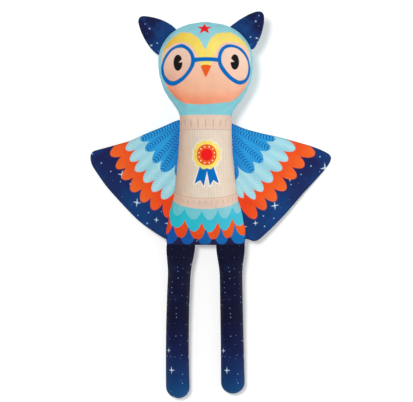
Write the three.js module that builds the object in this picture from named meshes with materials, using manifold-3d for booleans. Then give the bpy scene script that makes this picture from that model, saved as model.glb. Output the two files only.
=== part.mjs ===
// A long-legged owl doll sewn from printed fabric and stuffed with fibre, lying on its back.
// Millimetres. +X is the doll's left, +Y runs from its feet to its head and +Z comes out of its face.
// The origin is on the flat patch under the belly that the doll lies on.
// Each stuffed part is a front panel and a back panel, sewn together round the edge, over its filling.
import * as THREE from "three";
import { mergeVertices } from "three/addons/utils/BufferGeometryUtils.js";
import Module from "manifold-3d";

const wasm = await Module();
wasm.setup();

// Fabric and clearances
const FABRIC = 1.2; // printed velour with its backing
const GAP = 0.3; // between pieces that touch
const SEAM_EDGE = 0.8; // thickness of a part where its two panels are sewn together flat
const FLATTENED = 0.5; // how far the stuffing gives where it lies on the floor

// Torso, with its lengths measured down from the line that the neck bends about
const NECK_WIDTH = 62;
const NECK_DEPTH = 42;
const BELLY_DOWN = 97; // to the fullest part of the belly
const BELLY_WIDTH = 77;
const BELLY_DEPTH = 52;
const BELLY_FLARE = 0.14; // slope of the sides there
const HIPS_WIDTH = 101; // that the sides swing out towards above the rounded hem
const HEM_DOWN = 161; // to the seam that closes the torso between the legs
const HEM_WIDTH = 93;
const HEM_CLOSING = 16; // height over which the stuffing closes towards the hem
const HEM_SLOPE = 0.78; // rise of each panel there, which leaves the legs room to fold

// Head, measured from its widest line
const HEAD_WIDTH = 113;
const HEAD_DEPTH = 72;
const CROWN_UP = 49;
const CHIN_DOWN = 57; // to the line that the neck bends about
const THROAT = 7; // from that line to where the head is as narrow as the neck
const THROAT_CURVE = 12; // height over which the jaw curves into the neck
const CROWN_FULLNESS = 0.62; // 0.55 is a true ellipse, and more is squarer
const JAW_FULLNESS = 0.63;
const NECK_RADIUS = 23; // rounded lower end of the head, which turns in the torso's hollow top

// Ears, along the edge of the head and out from it
const EAR_WIDTH = 39;
const EAR_LENGTH = { left: 45.5, right: 49.5 }; // to the tip, before it is rounded
const EAR_DEPTH = 12;
const EAR_FULLNESS = 2; // the higher, the flatter the middle and the steeper the edges
const EAR_HINGE_OUT = 0.8; // from the edge of the head to the line that the ear bends about
const EAR_FROM_CROWN = { left: 48, right: 55.5 }; // along the edge to the middle of the ear
const EAR_TIP_LEAN = { left: 4, right: 6 }; // of the tip, towards the crown
const EAR_TIP_ROUND = 16; // start of the rounding, back from the tip
const EAR_BULGE_TOP = 3.5; // of the edge towards the crown
const EAR_BULGE_SIDE = 5.5; // of the edge away from it

// Wings, out from the line that they turn about and down along it
const WING_HINGE_OUT = 1.2; // from the side of the torso to that line
const WING_DOWN = { left: 14, right: 10 }; // upper end of the wing, from the neck line
const WING_ABOVE_HEM = 7; // lower end of the seam
const WING_SPAN = { left: 124.5, right: 113.5 }; // to the tip, before it is rounded
const WING_TIP_DOWN = { left: 54.5, right: 59 };
const WING_TIP_ROUND = 20; // start of the rounding, back from the tip
const WING_CORNER_OUT = { left: 15, right: 5 };
const WING_CORNER_BELOW = { left: 4.5, right: -0.5 }; // past the lower end of the seam
const WING_CORNER_ROUND = 7;
const WING_BULGE_TOP = 0;
const WING_BULGE_SIDE = { left: 1.5, right: 7 };
const WING_DEPTH = 11;
const WING_FULLNESS = 3; // the higher, the flatter the middle and the steeper the edges

// Legs
const HIP_SPACING = 59.5; // between the middles of the two leg seams
const HIP_WIDTH = 34.5; // of the flat top of a leg
const HIP_GAP = 0.9; // hem to leg, with the line that the leg folds about midway
const HIP_TAPER = 36; // length over which the leg fills out
const HIP_SLOPE = 0.7; // rise of each panel at the seam
const LEG_WIDTH = 26.5;
const LEG_DEPTH = 25;
const FOOT_WIDTH = 28;
const FOOT_LENGTH = 30; // over which the leg widens to the foot
const FOOT_ROUND = 13;
const LEG_LENGTH = { left: 178, right: 183.5 };
const LEG_SPLAY = THREE.MathUtils.degToRad(1);

// Facets
const HEAD_SIDES = 24;
const TORSO_SIDES = 20;
const LEG_SIDES = 14;
const NECK_SIDES = 40;
const RAIL_STEPS = 7; // rings along each rail of the head and the torso
const LEG_STEPS = 4; // rings along each rail of a leg
const ROOT_STEPS = 6; // points along the root of an ear or a wing
const EDGE_STEPS = 3; // points along each curved edge of an ear or a wing
const FINE_STEPS = 60; // for measuring along a rail
const WELD = 1e-4;
const SPACE = 2000; // larger than the doll
const ROUND_LIMIT = 0.8; // share of the edge before a corner that its rounding may take

const SIDES = { left: 1, right: -1 };
const QUARTER = 0.5523; // length of the handles that make a cubic curve a quarter circle

const fabric = (color) => new THREE.MeshStandardMaterial({ color, roughness: 0.85, metalness: 0 });
const HOOD_BLUE = 0x8fd3e0;
const FACE_PEACH = 0xf7b795;
const KNIT_BEIGE = 0xe6ccb0;
const FEATHER_BLUE = 0x2f95d6;
const FEATHER_ORANGE = 0xf05a24;
const NIGHT = 0x1b1f55;
const DUSK = 0x1a3f78;
const FIBRE = 0xf4f3ef;

// Solids

function solidOf(geometry) {
  const bare = geometry.clone();
  bare.deleteAttribute("normal");
  bare.deleteAttribute("uv");
  const welded = mergeVertices(bare, WELD);
  const vertProperties = new Float32Array(welded.attributes.position.array);
  const triVerts = new Uint32Array(welded.index.array);
  return new wasm.Manifold(new wasm.Mesh({ numProp: 3, vertProperties, triVerts }));
}

function geometryOf(solid) {
  const { vertProperties, triVerts } = solid.getMesh();
  const geometry = new THREE.BufferGeometry();
  geometry.setAttribute("position", new THREE.BufferAttribute(vertProperties, 3));
  geometry.setIndex(new THREE.BufferAttribute(triVerts, 1));
  geometry.computeVertexNormals();
  return geometry;
}

function facesOf(positions, triangles) {
  const geometry = new THREE.BufferGeometry();
  geometry.setAttribute("position", new THREE.Float32BufferAttribute(positions, 3));
  geometry.setIndex(triangles);
  return geometry;
}

// A rail gives half the width, the place along the part and half the depth of each ring.
const rail = (...points) =>
  new THREE.CubicBezierCurve3(...points.map((point) => new THREE.Vector3(...point)));

function ringsAlong(rails, steps) {
  return rails.flatMap((curve, index) => curve.getPoints(steps).slice(index ? 1 : 0));
}

// A stuffed tube through elliptical rings, listed from the top down. A ring of no width closes it.
function loft(rings, sides) {
  const positions = [];
  const triangles = [];
  const starts = rings.map((ring) => {
    const start = positions.length / 3;
    const count = ring.x > WELD ? sides : 1;
    for (let side = 0; side < count; side += 1) {
      const angle = (2 * Math.PI * side) / sides;
      const depth = count > 1 ? ring.z : 0;
      positions.push(ring.x * Math.cos(angle), ring.y, depth * Math.sin(angle));
    }
    return { start, count };
  });
  const cap = (ring, row, flip) => {
    const centre = positions.length / 3;
    positions.push(0, ring.y, 0);
    for (let side = 0; side < sides; side += 1) {
      const edge = [row.start + side, row.start + ((side + 1) % sides)];
      triangles.push(centre, ...(flip ? edge.reverse() : edge));
    }
  };
  for (let row = 0; row + 1 < rings.length; row += 1) {
    const [upper, lower] = [starts[row], starts[row + 1]];
    for (let side = 0; side < sides; side += 1) {
      const next = (side + 1) % sides;
      if (upper.count === 1) {
        triangles.push(upper.start, lower.start + next, lower.start + side);
      } else if (lower.count === 1) {
        triangles.push(upper.start + side, upper.start + next, lower.start);
      } else {
        triangles.push(upper.start + side, upper.start + next, lower.start + next);
        triangles.push(upper.start + side, lower.start + next, lower.start + side);
      }
    }
  }
  if (starts[0].count > 1) cap(rings[0], starts[0], true);
  if (starts.at(-1).count > 1) cap(rings.at(-1), starts.at(-1), false);
  return facesOf(positions, triangles);
}

// A stuffed pad over an outline: flat at its edge, and fullest over its middle.
function pad(outline, depth, fullness) {
  const points = THREE.ShapeUtils.isClockWise(outline) ? [...outline].reverse() : outline;
  const count = points.length;
  const area = THREE.ShapeUtils.area(points);
  const middle = points.reduce((sum, point, index) => {
    const next = points[(index + 1) % count];
    return sum.addScaledVector(point.clone().add(next), point.cross(next) / (6 * area));
  }, new THREE.Vector2());
  const positions = [];
  const triangles = [];
  const shares = [1, 0.86, 0.62, 0.32];
  const thickness = (share) => SEAM_EDGE / 2 + ((depth - SEAM_EDGE) / 2) * (1 - share ** fullness);
  for (const face of [1, -1]) {
    for (const share of shares) {
      for (const point of points) {
        const place = middle.clone().lerp(point, share);
        positions.push(place.x, place.y, face * thickness(share));
      }
    }
    positions.push(middle.x, middle.y, face * thickness(0));
  }
  const half = shares.length * count + 1;
  const quad = (a, b, c, d, flip) => triangles.push(...(flip ? [a, c, b, a, d, c] : [a, b, c, a, c, d]));
  for (let index = 0; index < count; index += 1) {
    const next = (index + 1) % count;
    for (const [start, flip] of [[0, false], [half, true]]) {
      for (let ring = 0; ring + 1 < shares.length; ring += 1) {
        const outer = start + ring * count;
        const inner = outer + count;
        quad(outer + index, outer + next, inner + next, inner + index, flip);
      }
      const last = start + (shares.length - 1) * count;
      const ends = flip ? [last + next, last + index] : [last + index, last + next];
      triangles.push(...ends, start + half - 1);
    }
    quad(half + index, half + next, next, index, false);
  }
  return facesOf(positions, triangles);
}

// The same form, drawn in by an inset on all sides.
function shrunk(geometry, inset) {
  geometry.computeBoundingBox();
  const size = geometry.boundingBox.getSize(new THREE.Vector3());
  const centre = geometry.boundingBox.getCenter(new THREE.Vector3());
  const share = size.clone().subScalar(2 * inset).divide(size);
  return geometry
    .clone()
    .translate(-centre.x, -centre.y, -centre.z)
    .scale(share.x, share.y, share.z)
    .translate(centre.x, centre.y, centre.z);
}

const blockAt = (x, y, z) => solidOf(new THREE.BoxGeometry(SPACE, SPACE, SPACE).translate(x, y, z));
const FRONT_HALF = blockAt(0, 0, (SPACE + GAP) / 2);
const BACK_HALF = blockAt(0, 0, -(SPACE + GAP) / 2);

// What lies under the floor, raised by an inset, in the coordinates of a placed group
function underFloor(frame, inset) {
  const block = new THREE.BoxGeometry(SPACE, SPACE, SPACE).translate(0, 0, inset - SPACE / 2);
  return solidOf(block.applyMatrix4(frame.matrixWorld.clone().invert()));
}

// A roller across the doll, on the line that the neck bends about
const neckRoller = (radius) =>
  solidOf(new THREE.CylinderGeometry(radius, radius, SPACE / 2, NECK_SIDES).rotateZ(Math.PI / 2));

// Adds the front panel, the back panel and the filling of a stuffed part.
function addStuffed(frame, name, form, colors, trim = (solid) => solid) {
  const inner = (inset) => trim(solidOf(shrunk(form, inset)), inset);
  const sewn = inner(0).subtract(inner(FABRIC));
  const pieces = {
    front_panel: [sewn.intersect(FRONT_HALF), colors.front],
    back_panel: [sewn.intersect(BACK_HALF), colors.back],
    filling: [inner(FABRIC + GAP), FIBRE],
  };
  for (const [piece, [solid, color]] of Object.entries(pieces)) {
    const mesh = new THREE.Mesh(geometryOf(solid), fabric(color));
    mesh.name = `${name}_${piece}`;
    frame.add(mesh);
  }
}

// Outlines, drawn for the doll's left side

const vector = (x, y) => new THREE.Vector2(x, y);
const towards = (from, to, distance) => to.clone().sub(from).setLength(distance).add(from);

// The middle of an edge, pushed out by twice the bulge, steers a curve that bulges by the bulge.
function steer(from, to, bulge) {
  const across = to.clone().sub(from);
  const push = vector(across.y, -across.x).setLength(2 * Math.max(bulge, WELD));
  return from.clone().lerp(to, 0.5).add(push);
}

// A fin runs round its rounded corners from the last point of its root to the first, anticlockwise.
function finOutline(root, corners, closingBulge) {
  const path = new THREE.Path();
  let from = root.at(-1);
  path.moveTo(from.x, from.y);
  corners.forEach((corner, index) => {
    const to = corners[index + 1]?.at ?? root[0];
    const limit = ROUND_LIMIT * corner.at.distanceTo(from);
    const before = towards(corner.at, from, Math.min(corner.round, limit));
    const after = towards(corner.at, to, corner.round);
    const bend = steer(from, before, corner.bulge);
    path.quadraticCurveTo(bend.x, bend.y, before.x, before.y);
    path.quadraticCurveTo(corner.at.x, corner.at.y, after.x, after.y);
    from = after;
  });
  const bend = steer(from, root[0], closingBulge);
  path.quadraticCurveTo(bend.x, bend.y, root[0].x, root[0].y);
  return [...path.getPoints(EDGE_STEPS), ...root.slice(1, -1)];
}

const mirrored = (outline, side) => outline.map((point) => vector(SIDES[side] * point.x, point.y));

// A group at a place of the doll's left side, turned anticlockwise, or at its mirror image
function framePlaced(parent, side, place, turn) {
  const frame = new THREE.Group();
  frame.rotation.order = "ZYX";
  frame.position.set(SIDES[side] * place.x, place.y, 0);
  frame.rotation.z = SIDES[side] * turn;
  parent.add(frame);
  object.updateMatrixWorld(true);
  return frame;
}

// Torso and head, each in the doll's own plane, with the neck line at y = 0 for both

const CHEST_HANDLE = BELLY_DOWN / 3;
const SKIRT_HANDLE = (HEM_DOWN - BELLY_DOWN) / 3;
const torsoRails = [
  rail(
    [NECK_WIDTH / 2, 0, NECK_DEPTH / 2],
    [NECK_WIDTH / 2, -CHEST_HANDLE, NECK_DEPTH / 2],
    [BELLY_WIDTH / 2 - BELLY_FLARE * CHEST_HANDLE, -BELLY_DOWN + CHEST_HANDLE, BELLY_DEPTH / 2],
    [BELLY_WIDTH / 2, -BELLY_DOWN, BELLY_DEPTH / 2],
  ),
  rail(
    [BELLY_WIDTH / 2, -BELLY_DOWN, BELLY_DEPTH / 2],
    [BELLY_WIDTH / 2 + BELLY_FLARE * SKIRT_HANDLE, -BELLY_DOWN - SKIRT_HANDLE, BELLY_DEPTH / 2],
    [HIPS_WIDTH / 2, -HEM_DOWN + HEM_CLOSING, SEAM_EDGE / 2 + HEM_CLOSING * HEM_SLOPE],
    [HEM_WIDTH / 2, -HEM_DOWN, SEAM_EDGE / 2],
  ),
];

const headRails = [
  rail(
    [0, CHIN_DOWN + CROWN_UP, 0],
    [(HEAD_WIDTH / 2) * CROWN_FULLNESS, CHIN_DOWN + CROWN_UP, (HEAD_DEPTH / 2) * CROWN_FULLNESS],
    [HEAD_WIDTH / 2, CHIN_DOWN + CROWN_UP * CROWN_FULLNESS, HEAD_DEPTH / 2],
    [HEAD_WIDTH / 2, CHIN_DOWN, HEAD_DEPTH / 2],
  ),
  rail(
    [HEAD_WIDTH / 2, CHIN_DOWN, HEAD_DEPTH / 2],
    [HEAD_WIDTH / 2, CHIN_DOWN * (1 - JAW_FULLNESS), HEAD_DEPTH / 2],
    [NECK_WIDTH / 2, THROAT_CURVE - THROAT, NECK_DEPTH / 2],
    [NECK_WIDTH / 2, -THROAT, NECK_DEPTH / 2],
  ),
];
const neckEnd = new THREE.Vector3(NECK_WIDTH / 2, -NECK_RADIUS - THROAT, NECK_DEPTH / 2);
const headRings = [...ringsAlong(headRails, RAIL_STEPS), neckEnd];

// Half the width of the torso at a distance down from the neck line
const torsoRings = ringsAlong(torsoRails, RAIL_STEPS);
function torsoSide(down) {
  const below = Math.max(torsoRings.findIndex((ring) => -ring.y >= down), 1);
  const [upper, lower] = [torsoRings[below - 1], torsoRings[below]];
  return THREE.MathUtils.mapLinear(-down, upper.y, lower.y, upper.x, lower.x);
}

// The thick head lifts the shoulders, so the doll lies on its head and its belly.
const bodyTilt = Math.asin((HEAD_DEPTH - BELLY_DEPTH) / 2 / (BELLY_DOWN + CHIN_DOWN));
const across = new THREE.Vector3(1, 0, 0);
const lowest = ringsAlong(torsoRails, FINE_STEPS)
  .map((point) => new THREE.Vector3(0, point.y, -point.z).applyAxisAngle(across, bodyTilt))
  .reduce((best, point) => (point.z < best.z ? point : best));

const object = new THREE.Group();

const doll = new THREE.Group();
doll.position.set(0, -lowest.y, -lowest.z - FLATTENED);
doll.rotation.x = bodyTilt;
object.add(doll);
object.updateMatrixWorld(true);

// Height of a point of the doll's plane above the floor
const heightAt = (x, y) => doll.localToWorld(new THREE.Vector3(x, y, 0)).z;

// Torso

const neckHollow = (inset) => neckRoller(NECK_RADIUS + GAP + inset);
addStuffed(
  doll,
  "torso",
  loft(torsoRings, TORSO_SIDES),
  { front: KNIT_BEIGE, back: KNIT_BEIGE },
  (solid, inset) => solid.subtract(neckHollow(inset)).subtract(underFloor(doll, inset)),
);

// Head

const aboveNeck = blockAt(0, SPACE / 2, 0);
addStuffed(
  doll,
  "head",
  loft(headRings, HEAD_SIDES),
  { front: FACE_PEACH, back: HOOD_BLUE },
  (solid, inset) =>
    solid.intersect(aboveNeck.add(neckRoller(NECK_RADIUS - inset))).subtract(underFloor(doll, inset)),
);

// Ears

// The upper edge of the head in the doll's plane, from the crown outwards
const { v0, v1, v2, v3 } = headRails[0];
const brow = new THREE.CubicBezierCurve(...[v0, v1, v2, v3].map((point) => vector(point.x, point.y)));
const browShare = (distance) => distance / brow.getLength();
const outwards = (share) => brow.getTangentAt(share).rotateAround(vector(0, 0), Math.PI / 2);

for (const side of Object.keys(SIDES)) {
  const middle = browShare(EAR_FROM_CROWN[side]);
  const turn = brow.getTangentAt(middle).angle() - 2 * Math.PI;
  const hinge = brow.getPointAt(middle).addScaledVector(outwards(middle), EAR_HINGE_OUT);
  const root = Array.from({ length: ROOT_STEPS + 1 }, (_, step) => {
    const share = middle + browShare(EAR_WIDTH) * (step / ROOT_STEPS - 0.5);
    const point = brow.getPointAt(share).addScaledVector(outwards(share), GAP);
    return point.sub(hinge).rotateAround(vector(0, 0), -turn);
  });
  const tip = {
    at: vector(-EAR_TIP_LEAN[side], EAR_LENGTH[side]),
    round: EAR_TIP_ROUND,
    bulge: EAR_BULGE_SIDE,
  };
  const outline = mirrored(finOutline(root, [tip], EAR_BULGE_TOP), side);
  const form = pad(outline, EAR_DEPTH, EAR_FULLNESS);
  const frame = framePlaced(doll, side, hinge, turn);
  addStuffed(frame, `ear_${side}`, form, { front: NIGHT, back: NIGHT });
}

// Wings

for (const side of Object.keys(SIDES)) {
  const seamDown = HEM_DOWN - WING_ABOVE_HEM;
  const top = vector(torsoSide(WING_DOWN[side]), -WING_DOWN[side]);
  const bottom = vector(torsoSide(seamDown), -seamDown);
  const turn = top.clone().sub(bottom).angle() - Math.PI / 2;
  const out = vector(1, 0).rotateAround(vector(0, 0), turn);
  const hinge = top.clone().addScaledVector(out, WING_HINGE_OUT);
  const sewn = torsoRings.filter((ring) => -ring.y > WING_DOWN[side] && -ring.y < seamDown);
  const root = [top, ...sewn, bottom].map((point) =>
    vector(point.x + GAP, point.y).sub(hinge).rotateAround(vector(0, 0), -turn),
  );
  const corners = [
    {
      at: vector(WING_CORNER_OUT[side], -top.distanceTo(bottom) - WING_CORNER_BELOW[side]),
      round: WING_CORNER_ROUND,
      bulge: 0,
    },
    {
      at: vector(WING_SPAN[side], -WING_TIP_DOWN[side]),
      round: WING_TIP_ROUND,
      bulge: WING_BULGE_SIDE[side],
    },
  ];
  const outline = finOutline(root, corners, WING_BULGE_TOP);
  const frame = framePlaced(doll, side, hinge, turn);
  // The wing hangs from its seam until its edge meets the floor.
  const droops = outline
    .filter((point) => point.x > WING_SPAN[side] / 2)
    .map((point) => {
      const height = frame.localToWorld(new THREE.Vector3(SIDES[side] * point.x, point.y, -SEAM_EDGE / 2)).z;
      return Math.asin(height / point.x);
    });
  frame.rotation.y = SIDES[side] * Math.min(...droops);
  const form = pad(mirrored(outline, side), WING_DEPTH, WING_FULLNESS);
  addStuffed(frame, `wing_${side}`, form, { front: FEATHER_BLUE, back: FEATHER_ORANGE });
}

// Legs

function legRails(side) {
  const length = LEG_LENGTH[side];
  const [calf, foot, deep] = [LEG_WIDTH / 2, FOOT_WIDTH / 2, LEG_DEPTH / 2];
  const heel = length - FOOT_ROUND;
  const hem = HIP_TAPER / 3;
  return [
    rail(
      [HIP_WIDTH / 2, 0, SEAM_EDGE / 2],
      [HIP_WIDTH / 2, -hem, SEAM_EDGE / 2 + hem * HIP_SLOPE],
      [calf, hem - HIP_TAPER, deep],
      [calf, -HIP_TAPER, deep],
    ),
    rail(
      [calf, -HIP_TAPER, deep],
      [calf, FOOT_LENGTH - heel, deep],
      [foot, FOOT_LENGTH / 2 - heel, deep],
      [foot, -heel, deep],
    ),
    rail(
      [foot, -heel, deep],
      [foot, -heel - FOOT_ROUND * QUARTER, deep],
      [foot * QUARTER, -length, deep * QUARTER],
      [0, -length, 0],
    ),
  ];
}

for (const side of Object.keys(SIDES)) {
  const hinge = vector(HIP_SPACING / 2, -HEM_DOWN - HIP_GAP / 2);
  const frame = framePlaced(doll, side, hinge, LEG_SPLAY);
  const drop = heightAt(hinge.x, hinge.y) + FLATTENED - LEG_DEPTH / 2;
  frame.rotation.order = "XYZ";
  frame.rotation.x = Math.asin(drop / (LEG_LENGTH[side] - FOOT_ROUND)) - bodyTilt;
  object.updateMatrixWorld(true);
  const rings = ringsAlong(legRails(side), LEG_STEPS);
  addStuffed(
    frame,
    `leg_${side}`,
    loft(rings, LEG_SIDES).translate(0, -HIP_GAP / 2, 0),
    { front: NIGHT, back: DUSK },
    (solid, inset) => solid.subtract(underFloor(frame, inset)),
  );
}

export default object;
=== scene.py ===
"""Looks of a long-legged owl doll, lying on its back.

It is sewn from printed short-pile velour and stuffed with fibre. Each stuffed part is shaped in millimetres in its
own plane, with its print laid out on the flat cloth, and is then put in its place on the doll in metres.
"""

from __future__ import annotations

import logging
import math
from dataclasses import dataclass, field
from enum import Enum
from typing import Any, Sequence

import bmesh
import bpy
import numpy as np
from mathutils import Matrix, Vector, noise


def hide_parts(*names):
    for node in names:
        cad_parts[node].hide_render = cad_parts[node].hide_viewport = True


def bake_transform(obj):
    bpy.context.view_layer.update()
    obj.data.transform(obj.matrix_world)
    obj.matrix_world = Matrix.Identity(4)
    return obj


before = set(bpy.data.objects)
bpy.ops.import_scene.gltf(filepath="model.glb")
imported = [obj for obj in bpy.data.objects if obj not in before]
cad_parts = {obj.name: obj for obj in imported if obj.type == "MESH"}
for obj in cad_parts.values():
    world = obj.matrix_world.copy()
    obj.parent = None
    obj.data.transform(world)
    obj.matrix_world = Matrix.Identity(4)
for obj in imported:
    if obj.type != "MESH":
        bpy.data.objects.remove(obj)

log = logging.getLogger("owl_doll")

MM = 0.001
Point = tuple[float, float]
Point3 = tuple[float, float, float]
Rail = tuple[Point3, Point3, Point3, Point3]
Verts = list[bmesh.types.BMVert]
Value = bpy.types.Node | bpy.types.NodeSocket
Paint = Value | str  # a colour out of a node, or a hex colour

MATH = "ShaderNodeMath"
RANGE = "ShaderNodeMapRange"
MIX = "ShaderNodeMixRGB"
NOISE = "ShaderNodeTexNoise"
CELLS = "ShaderNodeTexVoronoi"
FIELD = "ShaderNodeAttribute"
SPLIT = "ShaderNodeSeparateXYZ"
VECTOR = "ShaderNodeVectorMath"
BUMP = "ShaderNodeBump"
CLOTH = "ShaderNodeBsdfPrincipled"

PRINT_EDGE = 0.3  # half the width over which one printed colour runs into the next
FAR = 99.0  # stands for a print that lies on another panel
SEWN = 1e-3  # what is nearer to the seam than this lies in it
WELD = 0.02  # vertices nearer than this are one, which joins the two panels at the seam
FLOOR_GAP = 0.05  # least height of the cloth over the floor
TINY = 1e-6  # least divisor
LEAST_SQUARE = 1e-9  # of an edge's length
LEAST_MOVE = 1e-12  # in metres, of a vertex that stays where it is

RIM = 0.9999  # share of the way to a panel's edge past which a vertex lies on it
INSIDE = 0.99  # share that no other vertex counts as having gone
BLUNT = 1.0  # half width over which a tube's end is a flat seam, and under which it is a round tip
RAIL_STEPS = 60  # steps along each rail of a form
BROW_STEPS = 200  # steps along the rail that the ears are sewn to
ARC_STEPS = 24  # steps in which a length over an oval section is added up
OUTLINE_STEPS = 900  # points among which the one in a direction is looked up
SIGHT_ROUNDS = 4  # rounds that find the height of a tilted part under a point
SEEDS = 97  # noise seeds for the parts
LUMP_SEED = 5.0  # from a part's seed to that of its lumps

NOISE_SPAN = (0.3, 0.7)  # most values of a noise texture lie between these
STAR_SCATTER = 0.9  # 0 sets the stars on a grid, 1 leaves them to chance
STARLESS = 0.35  # share of the sky's cells without a star
STAR_CORE = 0.35  # share of a star's reach that has its full colour
LEAST_REACH = 1e-3  # of a star that isn't there
GLINT_THIN = 6.0  # length of a star's points over their width


class Panel(Enum):
    """The two panels that each stuffed part is sewn from."""

    FRONT = 1
    BACK = -1


class Side(Enum):
    """Sides of the doll. Its left is towards +X."""

    LEFT = 1
    RIGHT = -1

    @property
    def word(self) -> str:
        """The side's name in the names of the doll's parts."""
        return self.name.lower()


def linear(code: str) -> tuple[float, float, float, float]:
    """Turns an sRGB hex colour to the linear one that a shader takes.

    Args:
        code: Six hex digits after a hash sign.

    Returns:
        Red, green, blue and an alpha of 1.
    """
    levels = [int(code[i : i + 2], 16) / 255 for i in (1, 3, 5)]
    made = [v / 12.92 if v <= 0.04045 else ((v + 0.055) / 1.055) ** 2.4 for v in levels]
    return (made[0], made[1], made[2], 1.0)


def empty_tree(owner: bpy.types.Material | bpy.types.World) -> bpy.types.NodeTree:
    """Gives a material or a world an empty node tree.

    Args:
        owner: The material or the world.

    Returns:
        The tree.
    """
    owner.use_nodes = True
    owner.node_tree.nodes.clear()
    return owner.node_tree


def add_node(tree: bpy.types.NodeTree, kind: str, *values: Any, **settings: Any) -> bpy.types.Node:
    """Adds one node with its settings and links.

    Args:
        tree: The node tree.
        kind: The node's type.
        values: Its inputs in order. A node or a socket is linked, a hex colour is made linear, None is left alone.
        settings: Inputs by their names in small letters, or properties of the node.

    Returns:
        The node.
    """
    made = tree.nodes.new(kind)
    inputs = {socket.name.lower().replace(" ", "_"): socket for socket in made.inputs}
    chosen = [(made.inputs[place], value) for place, value in enumerate(values)]
    for name, value in settings.items():
        if name in inputs:
            chosen.append((inputs[name], value))
        else:
            setattr(made, name, value)
    for socket, value in chosen:
        if isinstance(value, bpy.types.Node):
            tree.links.new(value.outputs[0], socket)
        elif isinstance(value, bpy.types.NodeSocket):
            tree.links.new(value, socket)
        elif value is not None:
            socket.default_value = linear(value) if isinstance(value, str) else value
    return made


# Curves and distances


def bezier(rail: Rail, steps: int) -> np.ndarray:
    """Points along a cubic curve.

    Args:
        rail: Its four control points.
        steps: How many steps to take.

    Returns:
        One row for each point.
    """
    t = np.linspace(0, 1, steps + 1)[:, None]
    a, b, c, d = (np.array(point, float) for point in rail)
    return (1 - t) ** 3 * a + 3 * t * (1 - t) ** 2 * b + 3 * t**2 * (1 - t) * c + t**3 * d


def lengths_along(points: np.ndarray) -> np.ndarray:
    """Length of a line from its first point to each of its points."""
    return np.concatenate([[0.0], np.cumsum(np.linalg.norm(np.diff(points, axis=0), axis=1))])


def resampled(points: np.ndarray, marks: np.ndarray) -> np.ndarray:
    """Points of a line at some lengths along it.

    Args:
        points: The line.
        marks: Lengths from its start.

    Returns:
        One row for each mark.
    """
    lengths = lengths_along(points)
    return np.stack([np.interp(marks, lengths, points[:, axis]) for axis in range(points.shape[1])], axis=1)


def curve_through(points: Sequence[Point], steps: int = 5, closed: bool = True) -> np.ndarray:
    """A smooth curve through points.

    Args:
        points: The points in order.
        steps: Points of the curve for each of them.
        closed: Whether it comes back to its start.

    Returns:
        Its points, without the last one of an open curve.
    """
    p = np.array(points, float)
    if closed:
        p = np.vstack([p[-1:], p, p[:2]])
    else:
        p = np.vstack([2 * p[:1] - p[1:2], p, 2 * p[-1:] - p[-2:-1]])
    before, at, after, later = p[:-3], p[1:-2], p[2:-1], p[3:]
    made = []
    for t in np.linspace(0, 1, steps, endpoint=False):
        bend = (2 * before - 5 * at + 4 * after - later) * t**2 + (3 * at - before - 3 * after + later) * t**3
        made.append(0.5 * (2 * at + (after - before) * t + bend))
    return np.stack(made, axis=1).reshape(-1, 2)


def distance_to(points: np.ndarray, outline: np.ndarray) -> np.ndarray:
    """Distance from points to a closed outline.

    Args:
        points: One row for each point.
        outline: Its corners in order.

    Returns:
        The distances, negative inside.
    """
    best = np.full(len(points), np.inf)
    inside = np.zeros(len(points), bool)
    for start, end in zip(outline, np.roll(outline, -1, axis=0)):
        edge, rel = end - start, points - start
        share = np.clip(rel @ edge / max(edge @ edge, LEAST_SQUARE), 0, 1)
        best = np.minimum(best, np.hypot(*(rel - share[:, None] * edge).T))
        if start[1] != end[1]:
            crossing = (start[1] > points[:, 1]) != (end[1] > points[:, 1])
            inside ^= crossing & (rel[:, 0] < rel[:, 1] * edge[0] / edge[1])
    return np.where(inside, -best, best)


def ripple(places: np.ndarray, size: float, seed: float) -> np.ndarray:
    """Smooth noise at places.

    Args:
        places: One row of three coordinates for each place.
        size: Distance from one bump to the next.
        seed: A number that no other ripple has.

    Returns:
        Values from about -1 to 1.
    """
    shift = Vector((seed, seed * 1.7, seed * 2.3))  # any steps do that keep the seeds' places apart
    return np.array([noise.noise(Vector(place) / size + shift) for place in places])


# Meshes


def new_object(name: str, bm: bmesh.types.BMesh) -> bpy.types.Object:
    """Puts a shape into the scene.

    Args:
        name: The name of its object and its mesh.
        bm: The shape, which is freed.

    Returns:
        The object.
    """
    mesh = bpy.data.meshes.new(name)
    bm.to_mesh(mesh)
    bm.free()
    item = bpy.data.objects.new(name, mesh)
    bpy.context.scene.collection.objects.link(item)
    return item


def coordinates(mesh: bpy.types.Mesh) -> np.ndarray:
    """Reads the vertices of a mesh.

    Args:
        mesh: The mesh.

    Returns:
        One row for each vertex.
    """
    made = np.empty(len(mesh.vertices) * 3)
    mesh.vertices.foreach_get("co", made)
    return made.reshape(-1, 3)


def field_of(mesh: bpy.types.Mesh, name: str) -> np.ndarray:
    """Values of a field that a mesh carries on its vertices.

    Args:
        mesh: The mesh.
        name: The field's name.

    Returns:
        One value or one row of three for each vertex.
    """
    data = mesh.attributes[name]
    wide = 3 if data.data_type == "FLOAT_VECTOR" else 1
    made = np.empty(len(data.data) * wide)
    data.data.foreach_get("vector" if wide == 3 else "value", made)
    return made.reshape(-1, 3) if wide == 3 else made


def set_field(mesh: bpy.types.Mesh, name: str, values: np.ndarray) -> None:
    """Stores one number for each vertex.

    Args:
        mesh: The mesh.
        name: The field's name.
        values: The numbers.
    """
    data = mesh.attributes.new(name, "FLOAT", "POINT")
    data.data.foreach_set("value", values.astype(np.float32))


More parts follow.
